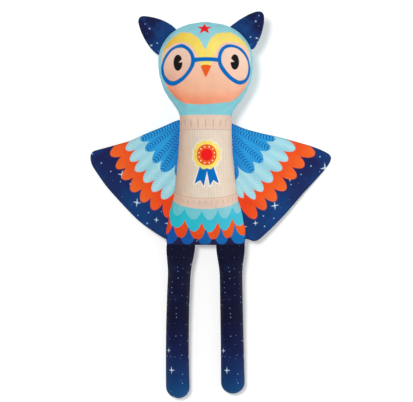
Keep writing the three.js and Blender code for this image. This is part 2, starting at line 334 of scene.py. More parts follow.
@dataclass(frozen=True)
class Seat:
    """Where a stuffed part is on the doll: its origin, and the directions of its own X and Y."""

    origin: Point3
    x_axis: Point3
    y_axis: Point3

    def place(self, points: np.ndarray) -> np.ndarray:
        """Takes points from the part's own plane to the doll's frame."""
        x, y = np.array(self.x_axis), np.array(self.y_axis)
        return points @ np.stack([x, y, np.cross(x, y)]) + np.array(self.origin)

    def spot(self, x: float, y: float) -> Vector:
        """One point of the part's own plane in the doll's frame, in metres."""
        return Vector(self.place(np.array([[x, y, 0.0]]))[0] * MM)


@dataclass(frozen=True)
class Stuffing:
    """How fibre fills out a sewn part in the cloth simulation."""

    pressure: float = 4.0
    spare_cloth: float = 0.02  # share by which the panels are larger than the form, which puckers them
    stiffness: float = 12.0
    bending: float = 0.05
    mass: float = 0.05
    damping: float = 2.0
    quality: int = 4
    frames: int = 20
    most_moved: float = 1.0

    def settle(self, item: bpy.types.Object) -> None:
        """Fills out a part whose seams stay where they are.

        Args:
            item: The part, in metres, with a field of the distance to its seam.
        """
        rest = coordinates(item.data)
        sewn = np.flatnonzero(field_of(item.data, "seam") < SEWN)
        group = item.vertex_groups.new(name="seams")
        group.add([int(index) for index in sewn], 1.0, "REPLACE")
        cloth = item.modifiers.new("stuffing", "CLOTH")
        cloth.collision_settings.use_collision = False
        cloth.collision_settings.use_self_collision = False
        cloth.point_cache.frame_end = self.frames
        values = {
            "quality": self.quality, "mass": self.mass, "air_damping": self.damping,
            "tension_stiffness": self.stiffness, "compression_stiffness": self.stiffness,
            "shear_stiffness": self.stiffness / 2, "bending_stiffness": self.bending,
            "vertex_group_mass": group.name, "use_pressure": True,
            "uniform_pressure_force": self.pressure, "shrink_min": -self.spare_cloth,
        }
        for name, value in values.items():
            setattr(cloth.settings, name, value)
        cloth.settings.effector_weights.gravity = 0
        scene = bpy.context.scene
        for step in range(1, self.frames + 1):
            scene.frame_set(step)
        graph = bpy.context.evaluated_depsgraph_get()
        moved = coordinates(item.evaluated_get(graph).data) - rest
        item.modifiers.remove(cloth)
        item.vertex_groups.clear()
        scene.frame_set(1)
        reach = np.linalg.norm(moved, axis=1, keepdims=True) + LEAST_MOVE
        most = self.most_moved * MM
        log.info("%s: fibre moves the cloth by up to %.2f mm", item.name, reach.max() / MM)
        item.data.vertices.foreach_set("co", (rest + moved / reach * most * np.tanh(reach / most)).ravel())


@dataclass(frozen=True)
class Surface:
    """How a stuffed surface departs from its smooth form."""

    groove: float = 0.45  # depth of the seam line
    groove_width: float = 1.1
    pucker: float = 0.5
    pucker_pitch: float = 5.5  # along the seam
    pucker_start: float = 1.5  # over which the puckers rise beside the seam
    pucker_reach: float = 6.0  # over which they fade farther in
    lump: float = 0.55
    lump_pitch: float = 26.0
    lump_start: float = 8.0  # over which the lumps rise beside the seam


@dataclass
class StuffedPart:
    """A part sewn from two panels round its edge, and filled.

    Its mesh carries the fields that its print is laid out by: print, the place on the flat cloth, panel, 1 on the
    front and -1 on the back, seam, the distance to the seam, and edge, the nearest place on the seam.
    """

    name: str
    seat: Seat
    surface: Surface = Surface()
    stuffing: Stuffing = Stuffing()
    finer: int = 2  # times that each cell is halved

    def sewn(self, bm: bmesh.types.BMesh) -> None:
        """Shapes the two panels. Each kind of part has its own way.

        Args:
            bm: The mesh to fill.
        """
        raise NotImplementedError

    def new_panel(self, bm: bmesh.types.BMesh, columns: int, rows: int) -> tuple[Verts, np.ndarray]:
        """Adds a flat panel of square cells.

        Args:
            bm: The mesh to add it to.
            columns: Cells across.
            rows: Cells up.

        Returns:
            Its vertices, and their places from -1 to 1 both ways.
        """
        made = bmesh.ops.create_grid(bm, x_segments=columns, y_segments=rows, size=1.0)["verts"]
        return made, np.array([vert.co.xy for vert in made])

    def lay(self, bm: bmesh.types.BMesh, verts: Verts, panel: Panel, **fields: np.ndarray) -> None:
        """Moves a panel's vertices into place and writes its fields on them.

        Args:
            bm: The mesh.
            verts: The panel's vertices.
            panel: Which panel it is.
            fields: co, print and edge with three numbers for each vertex, and seam with one.
        """
        found = bm.verts.layers
        wide = {name: found.float_vector.get(name) for name in ("print", "edge")}
        single = {name: found.float.get(name) for name in ("seam", "panel")}
        for index, vert in enumerate(verts):
            vert.co = fields["co"][index]
            vert[single["seam"]] = float(fields["seam"][index])
            vert[single["panel"]] = float(panel.value)
            for name, layer in wide.items():
                vert[layer] = fields[name][index]

    def build(self) -> bpy.types.Object:
        """Sews, fills and finishes the part.

        Returns:
            The part in the doll's frame, in metres.
        """
        bm = bmesh.new()
        for name in ("print", "edge"):
            bm.verts.layers.float_vector.new(name)
        for name in ("seam", "panel"):
            bm.verts.layers.float.new(name)
        self.sewn(bm)
        bmesh.ops.remove_doubles(bm, verts=bm.verts, dist=WELD)
        bmesh.ops.recalc_face_normals(bm, faces=bm.faces)
        seam, crease = bm.verts.layers.float.get("seam"), bm.edges.layers.float.new("crease_edge")
        for edge in bm.edges:
            edge[crease] = float(all(vert[seam] < SEWN for vert in edge.verts))
        bmesh.ops.scale(bm, vec=(MM, MM, MM), verts=bm.verts)
        item = new_object(self.name, bm)
        self.stuffing.settle(item)
        smooth = item.modifiers.new("finer", "SUBSURF")
        smooth.levels = smooth.render_levels = self.finer
        graph = bpy.context.evaluated_depsgraph_get()
        finished = bpy.data.meshes.new_from_object(
            item.evaluated_get(graph), preserve_all_data_layers=True, depsgraph=graph
        )
        finished.name = self.name
        item.modifiers.clear()
        item.data = finished
        finished.shade_smooth()
        self.finish_surface(finished)
        log.info("%s: %d faces", self.name, len(finished.polygons))
        return item

    def finish_surface(self, mesh: bpy.types.Mesh) -> None:
        """Presses the seam in, puckers the cloth beside it, and lays the part on the floor.

        Args:
            mesh: The filled part's mesh, in metres, in its own plane.
        """
        look = self.surface
        local = coordinates(mesh) / MM
        normals = np.array([normal.vector for normal in mesh.vertex_normals])
        seam = np.maximum(field_of(mesh, "seam"), 0)
        edge = field_of(mesh, "edge")
        seed = float(sum(map(ord, self.name)) % SEEDS)
        near = seam < 4 * look.pucker_reach  # farther in, no pucker is left to see
        puckers = np.zeros(len(local))
        puckers[near] = ripple(edge[near], look.pucker_pitch, seed)
        depth = look.pucker * puckers * np.exp(-seam / look.pucker_reach) * (1 - np.exp(-seam / look.pucker_start))
        lumps = ripple(local, look.lump_pitch, seed + LUMP_SEED)
        depth += look.lump * lumps * (1 - np.exp(-seam / look.lump_start))
        moved = local + normals * depth[:, None]
        moved[:, 2] -= look.groove * np.exp(-((seam / look.groove_width) ** 2)) * normals[:, 2]
        placed = self.seat.place(moved)
        placed[:, 2] = np.maximum(placed[:, 2], FLOOR_GAP)
        mesh.vertices.foreach_set("co", (placed * MM).ravel())
        mesh.update()


@dataclass
class StuffedTube(StuffedPart):
    """A part with an oval section all along, closed at both ends, with a seam down each side."""

    rails: tuple[Rail, ...] = ()
    columns: int = 30
    rows: int = 60
    bow: float = 0.0  # how far its middle lies to the side

    def __post_init__(self) -> None:
        """Works out half the width, the height and half the depth of the part along its length."""
        points = np.concatenate([bezier(rail, RAIL_STEPS) for rail in self.rails])
        lower = np.minimum.accumulate(points[:, 1])
        self.profile = points[np.concatenate([[True], points[1:, 1] < lower[:-1]])]
        self.heights = lengths_along(self.profile[:, 1:])

    def at(self, y: np.ndarray | float, values: np.ndarray) -> np.ndarray:
        """Reads what is listed along the profile at some heights."""
        return np.interp(-np.asarray(y, float), -self.profile[:, 1], values)

    def half_width(self, y: np.ndarray) -> np.ndarray:
        """Half the width at a height."""
        return self.at(y, self.profile[:, 0])

    def half_depth(self, y: np.ndarray) -> np.ndarray:
        """Half the depth at a height."""
        return self.at(y, self.profile[:, 2])

    def cloth_height(self, y: np.ndarray) -> np.ndarray:
        """Place on the flat cloth of a height, from 0 at the part's own origin."""
        return self.at(0, self.heights) - self.at(y, self.heights)

    def cloth_across(self, x: np.ndarray, y: np.ndarray) -> np.ndarray:
        """Place across the flat cloth, from its middle line, by the length over the oval section.

        Args:
            x: Places across the part.
            y: Their heights.

        Returns:
            Lengths over the cloth, with the sign of x.
        """
        wide, deep = self.half_width(y), self.half_depth(y)
        most = np.arcsin(np.clip(np.abs(x) / np.maximum(wide, TINY), 0, 1))
        turns = np.linspace(0, 1, ARC_STEPS + 1)[:, None] * most
        pace = np.hypot(wide * np.cos(turns), deep * np.sin(turns))
        return np.sign(x) * np.sum((pace[1:] + pace[:-1]) / 2 * np.diff(turns, axis=0), axis=0)

    def cloth_from_above(self, points: Sequence[Point] | np.ndarray) -> np.ndarray:
        """Takes points as they are seen from above the doll to places on the flat front panel.

        Args:
            points: X and Y in the doll's frame.

        Returns:
            Places on the cloth, across and up.
        """
        given = np.array(points, float)
        x, y = given[:, 0] - self.seat.origin[0], given[:, 1] - self.seat.origin[1]
        up = self.seat.y_axis
        height = y.copy()
        for _ in range(SIGHT_ROUNDS):
            share = np.clip(1 - (x / np.maximum(self.half_width(height), TINY)) ** 2, 0, 1)
            height = (y + up[2] * self.half_depth(height) * np.sqrt(share)) / up[1]
        return np.stack([self.cloth_across(x, height), self.cloth_height(height)], axis=1)

    def sewn(self, bm: bmesh.types.BMesh) -> None:
        """Wraps each panel over its half of the section.

        Args:
            bm: The mesh to fill.
        """
        slant = math.sqrt(0.5)  # rows are spaced by the form's length halfway round the section
        steps = lengths_along(self.profile * np.array([slant, 1, slant]))
        start = self.at(0, self.heights)
        for panel in Panel:
            verts, flat = self.new_panel(bm, self.columns, self.rows)
            mark = (1 - flat[:, 1]) / 2 * steps[-1]
            wide, y, deep = (np.interp(mark, steps, self.profile[:, axis]) for axis in range(3))
            turn = flat[:, 0] * math.pi / 2
            sides, ended = (np.abs(flat) > RIM).T
            x, z = wide * np.sin(turn), np.where(ended | sides, 0, deep * np.cos(turn))
            across, up = self.cloth_across(x, y), self.cloth_height(y)
            seam = self.cloth_across(wide, y) - np.abs(across)
            if self.profile[0, 0] > BLUNT:
                seam = np.minimum(seam, start - up)
            if self.profile[-1, 0] > BLUNT:
                seam = np.minimum(seam, self.heights[-1] - start + up)
            still = np.zeros_like(x)
            self.lay(
                bm, verts, panel,
                co=np.stack([x + self.bow * np.sin(math.pi * mark / steps[-1]), y, z * panel.value], axis=1),
                print=np.stack([across, up, still], axis=1),
                edge=np.stack([wide * np.sign(x), y, still], axis=1),
                seam=np.where(sides | (ended & (wide > BLUNT)), 0, np.maximum(seam, 0)),
            )


@dataclass
class StuffedFin(StuffedPart):
    """A flat part with a thin layer of padding, such as an ear or a wing."""

    side: Side = Side.LEFT
    root: np.ndarray = field(default_factory=lambda: np.zeros((2, 2)))  # the edge that is sewn to the doll
    free: tuple[Point, ...] = ()  # the edge from the last point of the root round to its first, as if on the left
    depth: float = 12.0
    fullness: float = 2.0  # the higher, the flatter its middle
    edge_rise: float = 0.4  # half the thickness right beside the seam
    cells: int = 32

    def __post_init__(self) -> None:
        """Works out the outline, its length and its middle."""
        free = curve_through([self.root[-1], *self.free, self.root[0]], closed=False)
        self.outline = np.vstack([free, self.root[:-1]])
        self.loop = np.vstack([free, self.root])
        self.lengths = lengths_along(self.loop)
        ahead = np.roll(self.outline, -1, axis=0)
        cross = self.outline[:, 0] * ahead[:, 1] - self.outline[:, 1] * ahead[:, 0]
        self.middle = ((self.outline + ahead) * cross[:, None]).sum(axis=0) / (3 * cross.sum())
        tip = int(np.argmax(np.linalg.norm(free - self.root.mean(axis=0), axis=1)))
        top, end = self.lengths[len(free)], self.lengths[-1]
        self.marks = np.array([0.0, self.lengths[tip], top, (top + end) / 2, end])

    def edge_towards(self, points: np.ndarray) -> np.ndarray:
        """The points of the outline that lie in the same directions from the middle.

        Args:
            points: Places in the plane of the part.

        Returns:
            One row for each.
        """
        dense = resampled(self.loop, np.linspace(0, self.lengths[-1], OUTLINE_STEPS))
        turns = np.arctan2(dense[:, 1] - self.middle[1], dense[:, 0] - self.middle[0])
        wanted = np.arctan2(points[:, 1] - self.middle[1], points[:, 0] - self.middle[0])
        return np.stack([np.interp(wanted, turns, dense[:, axis], period=2 * math.pi) for axis in (0, 1)], axis=1)

    def spread(self, flat: np.ndarray) -> np.ndarray:
        """Spreads a square of cells over the outline, with corners at the ends of the root and at the tip.

        Args:
            flat: Places in the square from -1 to 1.

        Returns:
            Places in the plane of the part.
        """
        a, b = (flat.T + 1) / 2
        marks, run = self.marks, np.diff(self.marks)
        low, right, high, left = (
            resampled(self.loop, marks[number] + share * run[number])
            for number, share in enumerate((a, b, 1 - a, 1 - b))
        )
        c = resampled(self.loop, marks[:4])
        a, b = a[:, None], b[:, None]
        flatly = (1 - a) * (1 - b) * c[0] + a * (1 - b) * c[1] + a * b * c[2] + (1 - a) * b * c[3]
        return (1 - b) * low + b * high + (1 - a) * left + a * right - flatly

    def sewn(self, bm: bmesh.types.BMesh) -> None:
        """Lays both panels over the outline, each domed over the padding.

        Args:
            bm: The mesh to fill.
        """
        for panel in Panel:
            verts, flat = self.new_panel(bm, self.cells, self.cells)
            place = self.spread(flat)
            edge = self.edge_towards(place)
            rim = np.abs(flat).max(axis=1) > RIM
            share = np.hypot(*(place - self.middle).T) / np.hypot(*(edge - self.middle).T)
            share = np.where(rim, 1, np.clip(share, 0, INSIDE))
            dome = (self.depth / 2 - self.edge_rise) * (1 - share**self.fullness)
            z = np.where(rim, 0, self.edge_rise + dome)
            seam = np.where(rim, 0, np.maximum(-distance_to(place, self.outline), 0))
            still = np.zeros(len(z))
            self.lay(
                bm, verts, panel,
                co=np.column_stack([place * np.array([self.side.value, 1]), z * panel.value]),
                print=np.column_stack([place, still]),
                edge=np.column_stack([edge, still]),
                seam=seam,
            )


# Finishes


@dataclass(frozen=True)
class Velour:
    """Short-pile polyester velour, printed by dye transfer.

    The pile is matt, with no highlights and only a faint pale rim where it is seen edge on. It is a little mottled,
    because it lies one way here and another there.
    """

    roughness: float = 0.9
    sheen: float = 0.04
    sheen_roughness: float = 0.5
    specular: float = 0.1
    nap_height: float = 0.16
    nap_strength: float = 0.6
    nap_pitch: float = 1.5  # the real pile is 0.2 mm, drawn coarser so that it shows
    nap_detail: float = 2.0
    mottle: float = 0.02
    mottle_pitch: float = 14.0
    mottle_detail: float = 3.0
    seam_shade: float = 0.62  # painted shade in the seam crease: share of the colour left in the seam line
    seam_reach: float = 1.3


@dataclass
class ClothPrint:
    """One printed cloth's material, built up layer over layer."""

    name: str
    cloth: Velour = Velour()

    def __post_init__(self) -> None:
        """Starts the material with the place on the flat cloth."""
        self.material = bpy.data.materials.new(self.name)
        self.tree = empty_tree(self.material)
        self.place = self.add(FIELD, attribute_name="print").outputs["Vector"]
        parts = self.add(SPLIT, self.place)
        self.across, self.up = parts.outputs[0], parts.outputs[1]

    def add(self, kind: str, *values: Any, **settings: Any) -> bpy.types.Node:
        """Adds a node to the material, as add_node does."""
        return add_node(self.tree, kind, *values, **settings)

    def inside(self, name: str) -> bpy.types.Node:
        """Where a field of distances is below 0, with a soft edge.

        Args:
            name: The field.

        Returns:
            1 inside and 0 outside.
        """
        far = self.add(FIELD, attribute_name=name).outputs["Fac"]
        return self.add(RANGE, far, PRINT_EDGE, -PRINT_EDGE)

    def stripes(self, value: Value, period: float, share: float, soft: float = 0.25) -> bpy.types.Node:
        """Soft stripes across a value.

        Args:
            value: What they run across, in millimetres.
            period: From one stripe to the next.
            share: Share of the period that a stripe takes.
            soft: Share of the period over which its edges fade.

        Returns:
            1 on the stripes and 0 between them.
        """
        turned = self.add(MATH, value, period / 2, operation="PINGPONG")
        return self.add(RANGE, turned, (share + soft) * period / 2, (share - soft) * period / 2)

    def faded(self, value: Value, *stops: tuple[float, str]) -> Paint:
        """A colour that changes along a value.

        Args:
            value: The value.
            stops: Values in order, each with its colour.

        Returns:
            The colour.
        """
        colour: Paint = stops[0][1]
        for (start, _), (end, ahead) in zip(stops, stops[1:]):
            colour = self.add(MIX, self.add(RANGE, value, start, end), colour, ahead)
        return colour

    def stars(self, colour: Paint, pitch: float, size: float, glint: bool, shade: str) -> bpy.types.Node:
        """Scatters small stars over a colour.

        Args:
            colour: The sky.
            pitch: Mean distance between stars.
            size: Reach of the largest star from its middle.
            glint: True for stars with four thin points, false for round dots.
            shade: Their colour.

        Returns:
            The sky with stars.
        """
        cells = self.add(CELLS, self.place, scale=1 / pitch, randomness=STAR_SCATTER, voronoi_dimensions="2D")
        luck = self.add(SPLIT, cells.outputs["Color"])
        reach = self.add(RANGE, luck, STARLESS, 1.0, 0.0, size)
        if glint:
            away = self.add(VECTOR, self.place, cells.outputs["Position"], operation="SUBTRACT")
            arms = []
            for stretch in ((1.0, GLINT_THIN, 0.0), (GLINT_THIN, 1.0, 0.0)):
                squashed = self.add(VECTOR, away, stretch, operation="MULTIPLY")
                arms.append(self.add(VECTOR, squashed, operation="LENGTH").outputs["Value"])
            far = self.add(MATH, arms[0], arms[1], operation="MINIMUM")
        else:
            far = self.add(MATH, cells.outputs["Distance"], pitch, operation="MULTIPLY")
        share = self.add(MATH, far, self.add(MATH, reach, LEAST_REACH, operation="MAXIMUM"), operation="DIVIDE")
        return self.add(MIX, self.add(RANGE, share, 1.0, STAR_CORE), colour, shade)

    def finished(self, colour: Paint) -> bpy.types.Material:
        """Gives the cloth its mottle, painted shade along its seams, and its pile.

        Args:
            colour: What is printed on it.

        Returns:
            The material.
        """
        cloth = self.cloth
        flat = {"noise_dimensions": "2D"}
        clouds = self.add(NOISE, self.place, scale=1 / cloth.mottle_pitch, detail=cloth.mottle_detail, **flat)
        lit = self.add(RANGE, clouds, *NOISE_SPAN, 1 - 2 * cloth.mottle, 1 + cloth.mottle)
        seam = self.add(FIELD, attribute_name="seam").outputs["Fac"]
        # painted shade: the colour darkens towards the seam, where the panels are pinched together
        shaded = self.add(RANGE, seam, 0.0, cloth.seam_reach, cloth.seam_shade, 1.0)
        level = self.add(MATH, lit, shaded, operation="MULTIPLY")
        dyed = self.add(VECTOR, colour, operation="SCALE", scale=level)
        grain = self.add(NOISE, self.place, scale=1 / cloth.nap_pitch, detail=cloth.nap_detail, **flat)
        pile = self.add(BUMP, strength=cloth.nap_strength, distance=cloth.nap_height * MM, height=grain)
        shader = self.add(
            CLOTH, base_color=dyed, roughness=cloth.roughness, specular_ior_level=cloth.specular,
            sheen_weight=cloth.sheen, sheen_roughness=cloth.sheen_roughness, normal=pile,
        )
        self.add("ShaderNodeOutputMaterial", shader)
        return self.material


@dataclass(frozen=True)
class NightSky:
    """A printed night sky with blue haze and small stars."""

    dark: str = "#1D2148"
    haze: str = "#1F4C8C"
    haze_from: float = 0.48
    haze_spread: float = 0.22
    haze_most: float = 0.8
    haze_pitch: float = 38.0
    haze_detail: float = 2.5
    star: str = "#A9CDEE"
    glint: str = "#D5EBF8"
    dot_pitch: float = 8.5
    dot_size: float = 1.1
    glint_pitch: float = 27.0
    glint_size: float = 6.5

    def over(self, p: ClothPrint, base: Paint | None = None) -> bpy.types.Node:
        """Paints the sky.

        Args:
            p: The cloth.
            base: Its ground colour, or None for the dark one.

        Returns:
            The sky.
        """
        flat = {"noise_dimensions": "2D"}
        clouds = p.add(NOISE, p.place, scale=1 / self.haze_pitch, detail=self.haze_detail, **flat)
        spread = p.add(RANGE, clouds, self.haze_from, self.haze_from + self.haze_spread, 0.0, self.haze_most)
        sky = p.add(MIX, spread, base or self.dark, self.haze)
        sky = p.stars(sky, self.dot_pitch, self.dot_size, False, self.star)
        return p.stars(sky, self.glint_pitch, self.glint_size, True, self.glint)


def night_cloth(name: str, sky: NightSky, *stops: tuple[float, str]) -> bpy.types.Material:
    """Dyes a cloth with a night sky.

    Args:
        name: The material's name.
        sky: The sky.
        stops: Heights on the flat cloth, each with the ground colour there.

    Returns:
        The material.
    """
    p = ClothPrint(name)
    return p.finished(sky.over(p, p.faded(p.up, *stops)))


@dataclass(frozen=True)
class Knit:
    """The columns of stitches of a knitted fabric, drawn in print."""

    shade: str = "#CDB39A"  # between the stitches
    half_column: float = 1.68
    gap: Point = (0.65, 0.15)  # from the line between two columns, where it starts and where it is full
    gap_least: float = 0.3  # how strongly that line is drawn between its dashes
    stitch: float = 2.9  # from one to the next up a column
    stitch_lean: float = 0.9
    stitch_share: float = 0.35
    dash_share: float = 0.5
    stitch_most: float = 0.3
    most: float = 0.75

    def over(self, p: ClothPrint, yarn: Paint) -> bpy.types.Node:
        """Draws the knit over a colour.

        Args:
            p: The cloth.
            yarn: The colour.

        Returns:
            The knit.
        """
        column = p.add(MATH, p.across, self.half_column, operation="PINGPONG")
        lean = p.add(MATH, column, self.stitch_lean, operation="MULTIPLY")
        rise = p.add(MATH, p.up, lean, operation="ADD")
        between = p.stripes(rise, self.stitch, self.stitch_share)
        between = p.add(MATH, between, self.stitch_most, operation="MULTIPLY")
        dash = p.add(RANGE, p.stripes(p.up, self.stitch, self.dash_share), 0.0, 1.0, self.gap_least, 1.0)
        gap = p.add(MATH, p.add(RANGE, column, *self.gap), dash, operation="MULTIPLY")
        drawn = p.add(MATH, between, gap, operation="MAXIMUM")
        return p.add(MIX, p.add(MATH, drawn, self.most, operation="MULTIPLY"), yarn, self.shade)


# The body: head and torso in one skin


@dataclass(frozen=True)
class FacePrint:
    """Outlines of the owl's printed face, as they are seen from above the doll."""

    cheeks: tuple[Point, ...] = (
        (-51.4, 167.4), (-51.9, 159), (-51.4, 148), (-49.8, 136.6), (-44.1, 122.8), (-34.5, 112.6), (-22.3, 107.4),
        (-9.4, 105.8), (3.6, 106.4), (15.7, 107.6), (27.8, 109.8), (37.5, 114), (44, 120.4), (50.8, 136.6),
        (53, 152), (51.4, 169.8),
    )
    brow_under: tuple[Point, ...] = (
        (47.2, 174.7), (42.3, 178), (37.5, 179.6), (30.2, 180.8), (23.8, 180.4), (18.9, 178), (14.9, 173.9),
        (11.6, 168.2), (9.2, 162.5), (7.2, 157.7), (6.1, 151.6), (-5.7, 151.6), (-6.5, 157.7), (-8.6, 162.5),
        (-11, 167.4), (-14.2, 173.1), (-18.3, 177.1), (-23.1, 180), (-28.8, 180.5), (-35.2, 179.6), (-40.9, 177.1),
        (-45.7, 173.1), (-49, 169),
    )
    brow_top: tuple[Point, ...] = (
        (-51.4, 167.4), (-49.4, 172), (-48.8, 174.9), (-46, 177.6), (-45.3, 180.3), (-42.3, 181.8), (-41.2, 184.6),
        (-38.2, 185.5), (-36.6, 188.6), (-33, 189), (-31.2, 192.6), (-27, 191.7), (-24.8, 193.6), (-21, 191.9),
        (-18.4, 192.6), (-16.2, 190.6), (-12.6, 188.9), (-8.6, 185), (-4.5, 179.4), (-1.3, 173.1), (-0.1, 171.4),
        (1.5, 175.5), (4.4, 182), (7.6, 186.9), (10.8, 189.4), (13.3, 192.6), (16.6, 191.4), (19.7, 193),
        (22.6, 192), (25.2, 193.8), (27.6, 191.6), (30.8, 192.2), (33.1, 189.1), (36.6, 188.9), (38.6, 185.8),
        (42, 185), (43.6, 182), (46.6, 180.9), (48.4, 177.2), (50.6, 174), (51.4, 169.8),
    )
    rims: tuple[tuple[Point, ...], ...] = (
        ((-30, 178.1), (-22.3, 175.9), (-15.8, 169.8), (-12.4, 160), (-13.8, 152), (-20, 142), (-28.8, 133),
         (-39.9, 128.2), (-48.2, 133), (-52.6, 146), (-50.5, 159), (-42, 172)),
        ((30.2, 178), (21.5, 176), (15.5, 168.5), (14.5, 156.1), (19.7, 145.1), (30.2, 134.6), (40.9, 130.1),
         (49.6, 135.8), (52.8, 149.6), (49.6, 163.4), (42, 173.3)),
    )
    lenses: tuple[tuple[Point, ...], ...] = (
        ((-30, 173.9), (-23, 171.5), (-18.2, 165), (-17.4, 156.1), (-21.5, 147), (-29.2, 138.6), (-39.9, 133.8),
         (-47, 138.5), (-49.8, 150), (-46.1, 161.3), (-38.5, 171)),
        ((30.2, 174.3), (22.5, 171.8), (18.7, 163.5), (19.7, 154.4), (27, 143.9), (34, 137.7), (40.9, 135),
         (47.5, 139), (50.3, 152), (46.4, 163.4), (38.5, 171.7)),
    )
    bridge: tuple[Point, ...] = (
        (-14.4, 162), (-6.9, 162.6), (1.1, 162.8), (9.2, 162.5), (15.9, 161.7), (15.9, 156.9), (9.2, 157.7),
        (1.1, 158.1), (-6.9, 157.7), (-14.4, 156.6),
    )
    eye_middles: tuple[Point, ...] = ((-32.6, 156.1), (34.3, 157.0))
    eye_halves: tuple[Point, ...] = ((5.25, 9.55), (5.0, 9.1))
    eye_notches: tuple[tuple[Point, ...], ...] = (
        ((-32, 156.2), (-25, 163), (-25, 157.2)),
        ((34, 157), (27, 164), (27, 157)),
    )
    beak: tuple[Point, ...] = (
        (-6, 152.6), (-2.9, 153.6), (0.3, 153.9), (4, 153.6), (6.9, 152.6), (3.6, 145.4), (0.2, 138.6), (-3.2, 145.4),
    )
    star_middle: Point = (-1.4, 198.3)
    star_reach: Point = (9.8, 11.4)
    star_points: int = 5
    star_waist: float = 0.42  # reach between two points, over that of the points
    eye_steps: int = 28

    def fields(self, body: StuffedTube, cloth: np.ndarray) -> dict[str, np.ndarray]:
        """Distances to each colour of the face.

        Args:
            body: The skin that it is printed on.
            cloth: Places on its flat cloth.

        Returns:
            One field for each colour.
        """

        def to(outline: Sequence[Point] | np.ndarray) -> np.ndarray:
            """Distance to an outline that is given as seen from above."""
            return distance_to(cloth, body.cloth_from_above(outline))

        eyes = np.full(len(cloth), np.inf)
        for middle, half, notch in zip(self.eye_middles, self.eye_halves, self.eye_notches):
            turns = np.linspace(0, 2 * math.pi, self.eye_steps, endpoint=False)
            oval = np.array(middle) + np.stack([half[0] * np.cos(turns), half[1] * np.sin(turns)], axis=1)
            eyes = np.minimum(eyes, np.maximum(to(oval), -to(notch)))
        rims = np.minimum(*(to(curve_through(rim)) for rim in self.rims))
        lenses = np.minimum(*(to(curve_through(lens)) for lens in self.lenses))
        turns = math.pi / self.star_points * np.arange(2 * self.star_points)
        reach = np.where(np.arange(len(turns)) % 2 == 0, 1, self.star_waist)
        corners = np.stack([np.sin(turns), np.cos(turns)], axis=1) * reach[:, None] * np.array(self.star_reach)
        return {
            "peach": to(self.cheeks + self.brow_under),
            "yellow": to(self.brow_top + self.brow_under),
            "lens": lenses,
            "blue": np.minimum(np.maximum(rims, -lenses), to(self.bridge)),
            "ink": eyes,
            "orange": to(self.beak),
            "red": distance_to(cloth, body.cloth_from_above([self.star_middle])[0] + corners),
        }


@dataclass(frozen=True)
class Rosette:
    """A prize rosette with two ribbon tails, printed on the chest."""

    middle: Point = (1.5, 46.0)  # as seen from above
    frill: float = 15.8
    frill_wave: float = 1.9
    frills: int = 12
    disc: float = 12.4
    centre: float = 7.0
    dot_ring: float = 9.8
    dot: float = 0.85
    tail: tuple[Point, ...] = ((-4.2, -8), (4.2, -8), (5.6, -37), (0, -31), (-5.6, -37))
    tail_turn: float = math.radians(14)
    halo: float = 1.5
    stretch: Point = (0.94, 1.0)  # the filling draws the cloth in across the chest

    def fields(self, body: StuffedTube, cloth: np.ndarray) -> dict[str, np.ndarray]:
        """Distances to each colour of the rosette.

        Args:
            body: The skin that it is printed on.
            cloth: Places on its flat cloth.

        Returns:
            One field for each colour.
        """
        rel = (cloth - body.cloth_from_above([self.middle])[0]) * np.array(self.stretch)
        far, turn = np.hypot(*rel.T), np.arctan2(rel[:, 0], rel[:, 1])
        frill = far - self.frill - self.frill_wave * np.abs(np.sin(turn * self.frills / 2))
        tails = np.full(len(cloth), np.inf)
        for way in (1, -1):
            c, s = math.cos(self.tail_turn), way * math.sin(self.tail_turn)
            turned = np.array(self.tail) @ np.array([[c, s], [-s, c]])
            tails = np.minimum(tails, distance_to(rel, turned))
        ring = (turn * self.frills / (2 * math.pi)) % 1 - 0.5
        dots = np.hypot(ring * 2 * math.pi / self.frills * self.dot_ring, far - self.dot_ring) - self.dot
        return {
            "cream": np.minimum(frill, tails) - self.halo,
            "blue": np.maximum(tails, -frill),
            "yellow": frill,
            "orange": far - self.disc,
            "red": far - self.centre,
            "dots": dots,
        }


@dataclass(frozen=True)
class ScallopRow:
    """A row of printed feather tips round the skirt, in places as seen from above the doll."""

    field: str
    notches: tuple[float, ...]  # between the tips, from the doll's right to its left
    tips: float  # height at the doll's middle line
    depth: float
    roundness: float
    sag: float  # by the square of the distance from the middle line
    colours: tuple[str, str]  # painted shade and light: its colour at the doll's right, darker, and at its left, paler
    outer: float = 24.0  # width of the two tips beyond the notches

    def edge(self, body: StuffedTube, across: np.ndarray) -> np.ndarray:
        """Height of the row's lower edge.

        Args:
            body: The skin that it is printed on.
            across: Places across the flat cloth.

        Returns:
            A height for each.
        """
        marks = body.cloth_from_above([(x, self.tips) for x in self.notches])[:, 0]
        marks = np.concatenate([marks[:1] - self.outer, marks, marks[-1:] + self.outer])
        place = np.abs(np.interp(across, marks, np.arange(len(marks))) % 1 * 2 - 1)
        return self.tips + self.depth * place**self.roundness + self.sag * across**2


@dataclass(frozen=True)
class Line:
    """A line across the front of the body's print, as seen from above the doll."""

    field: str
    height: float  # at the doll's middle line
    sag: float  # by the square of the distance from the middle line


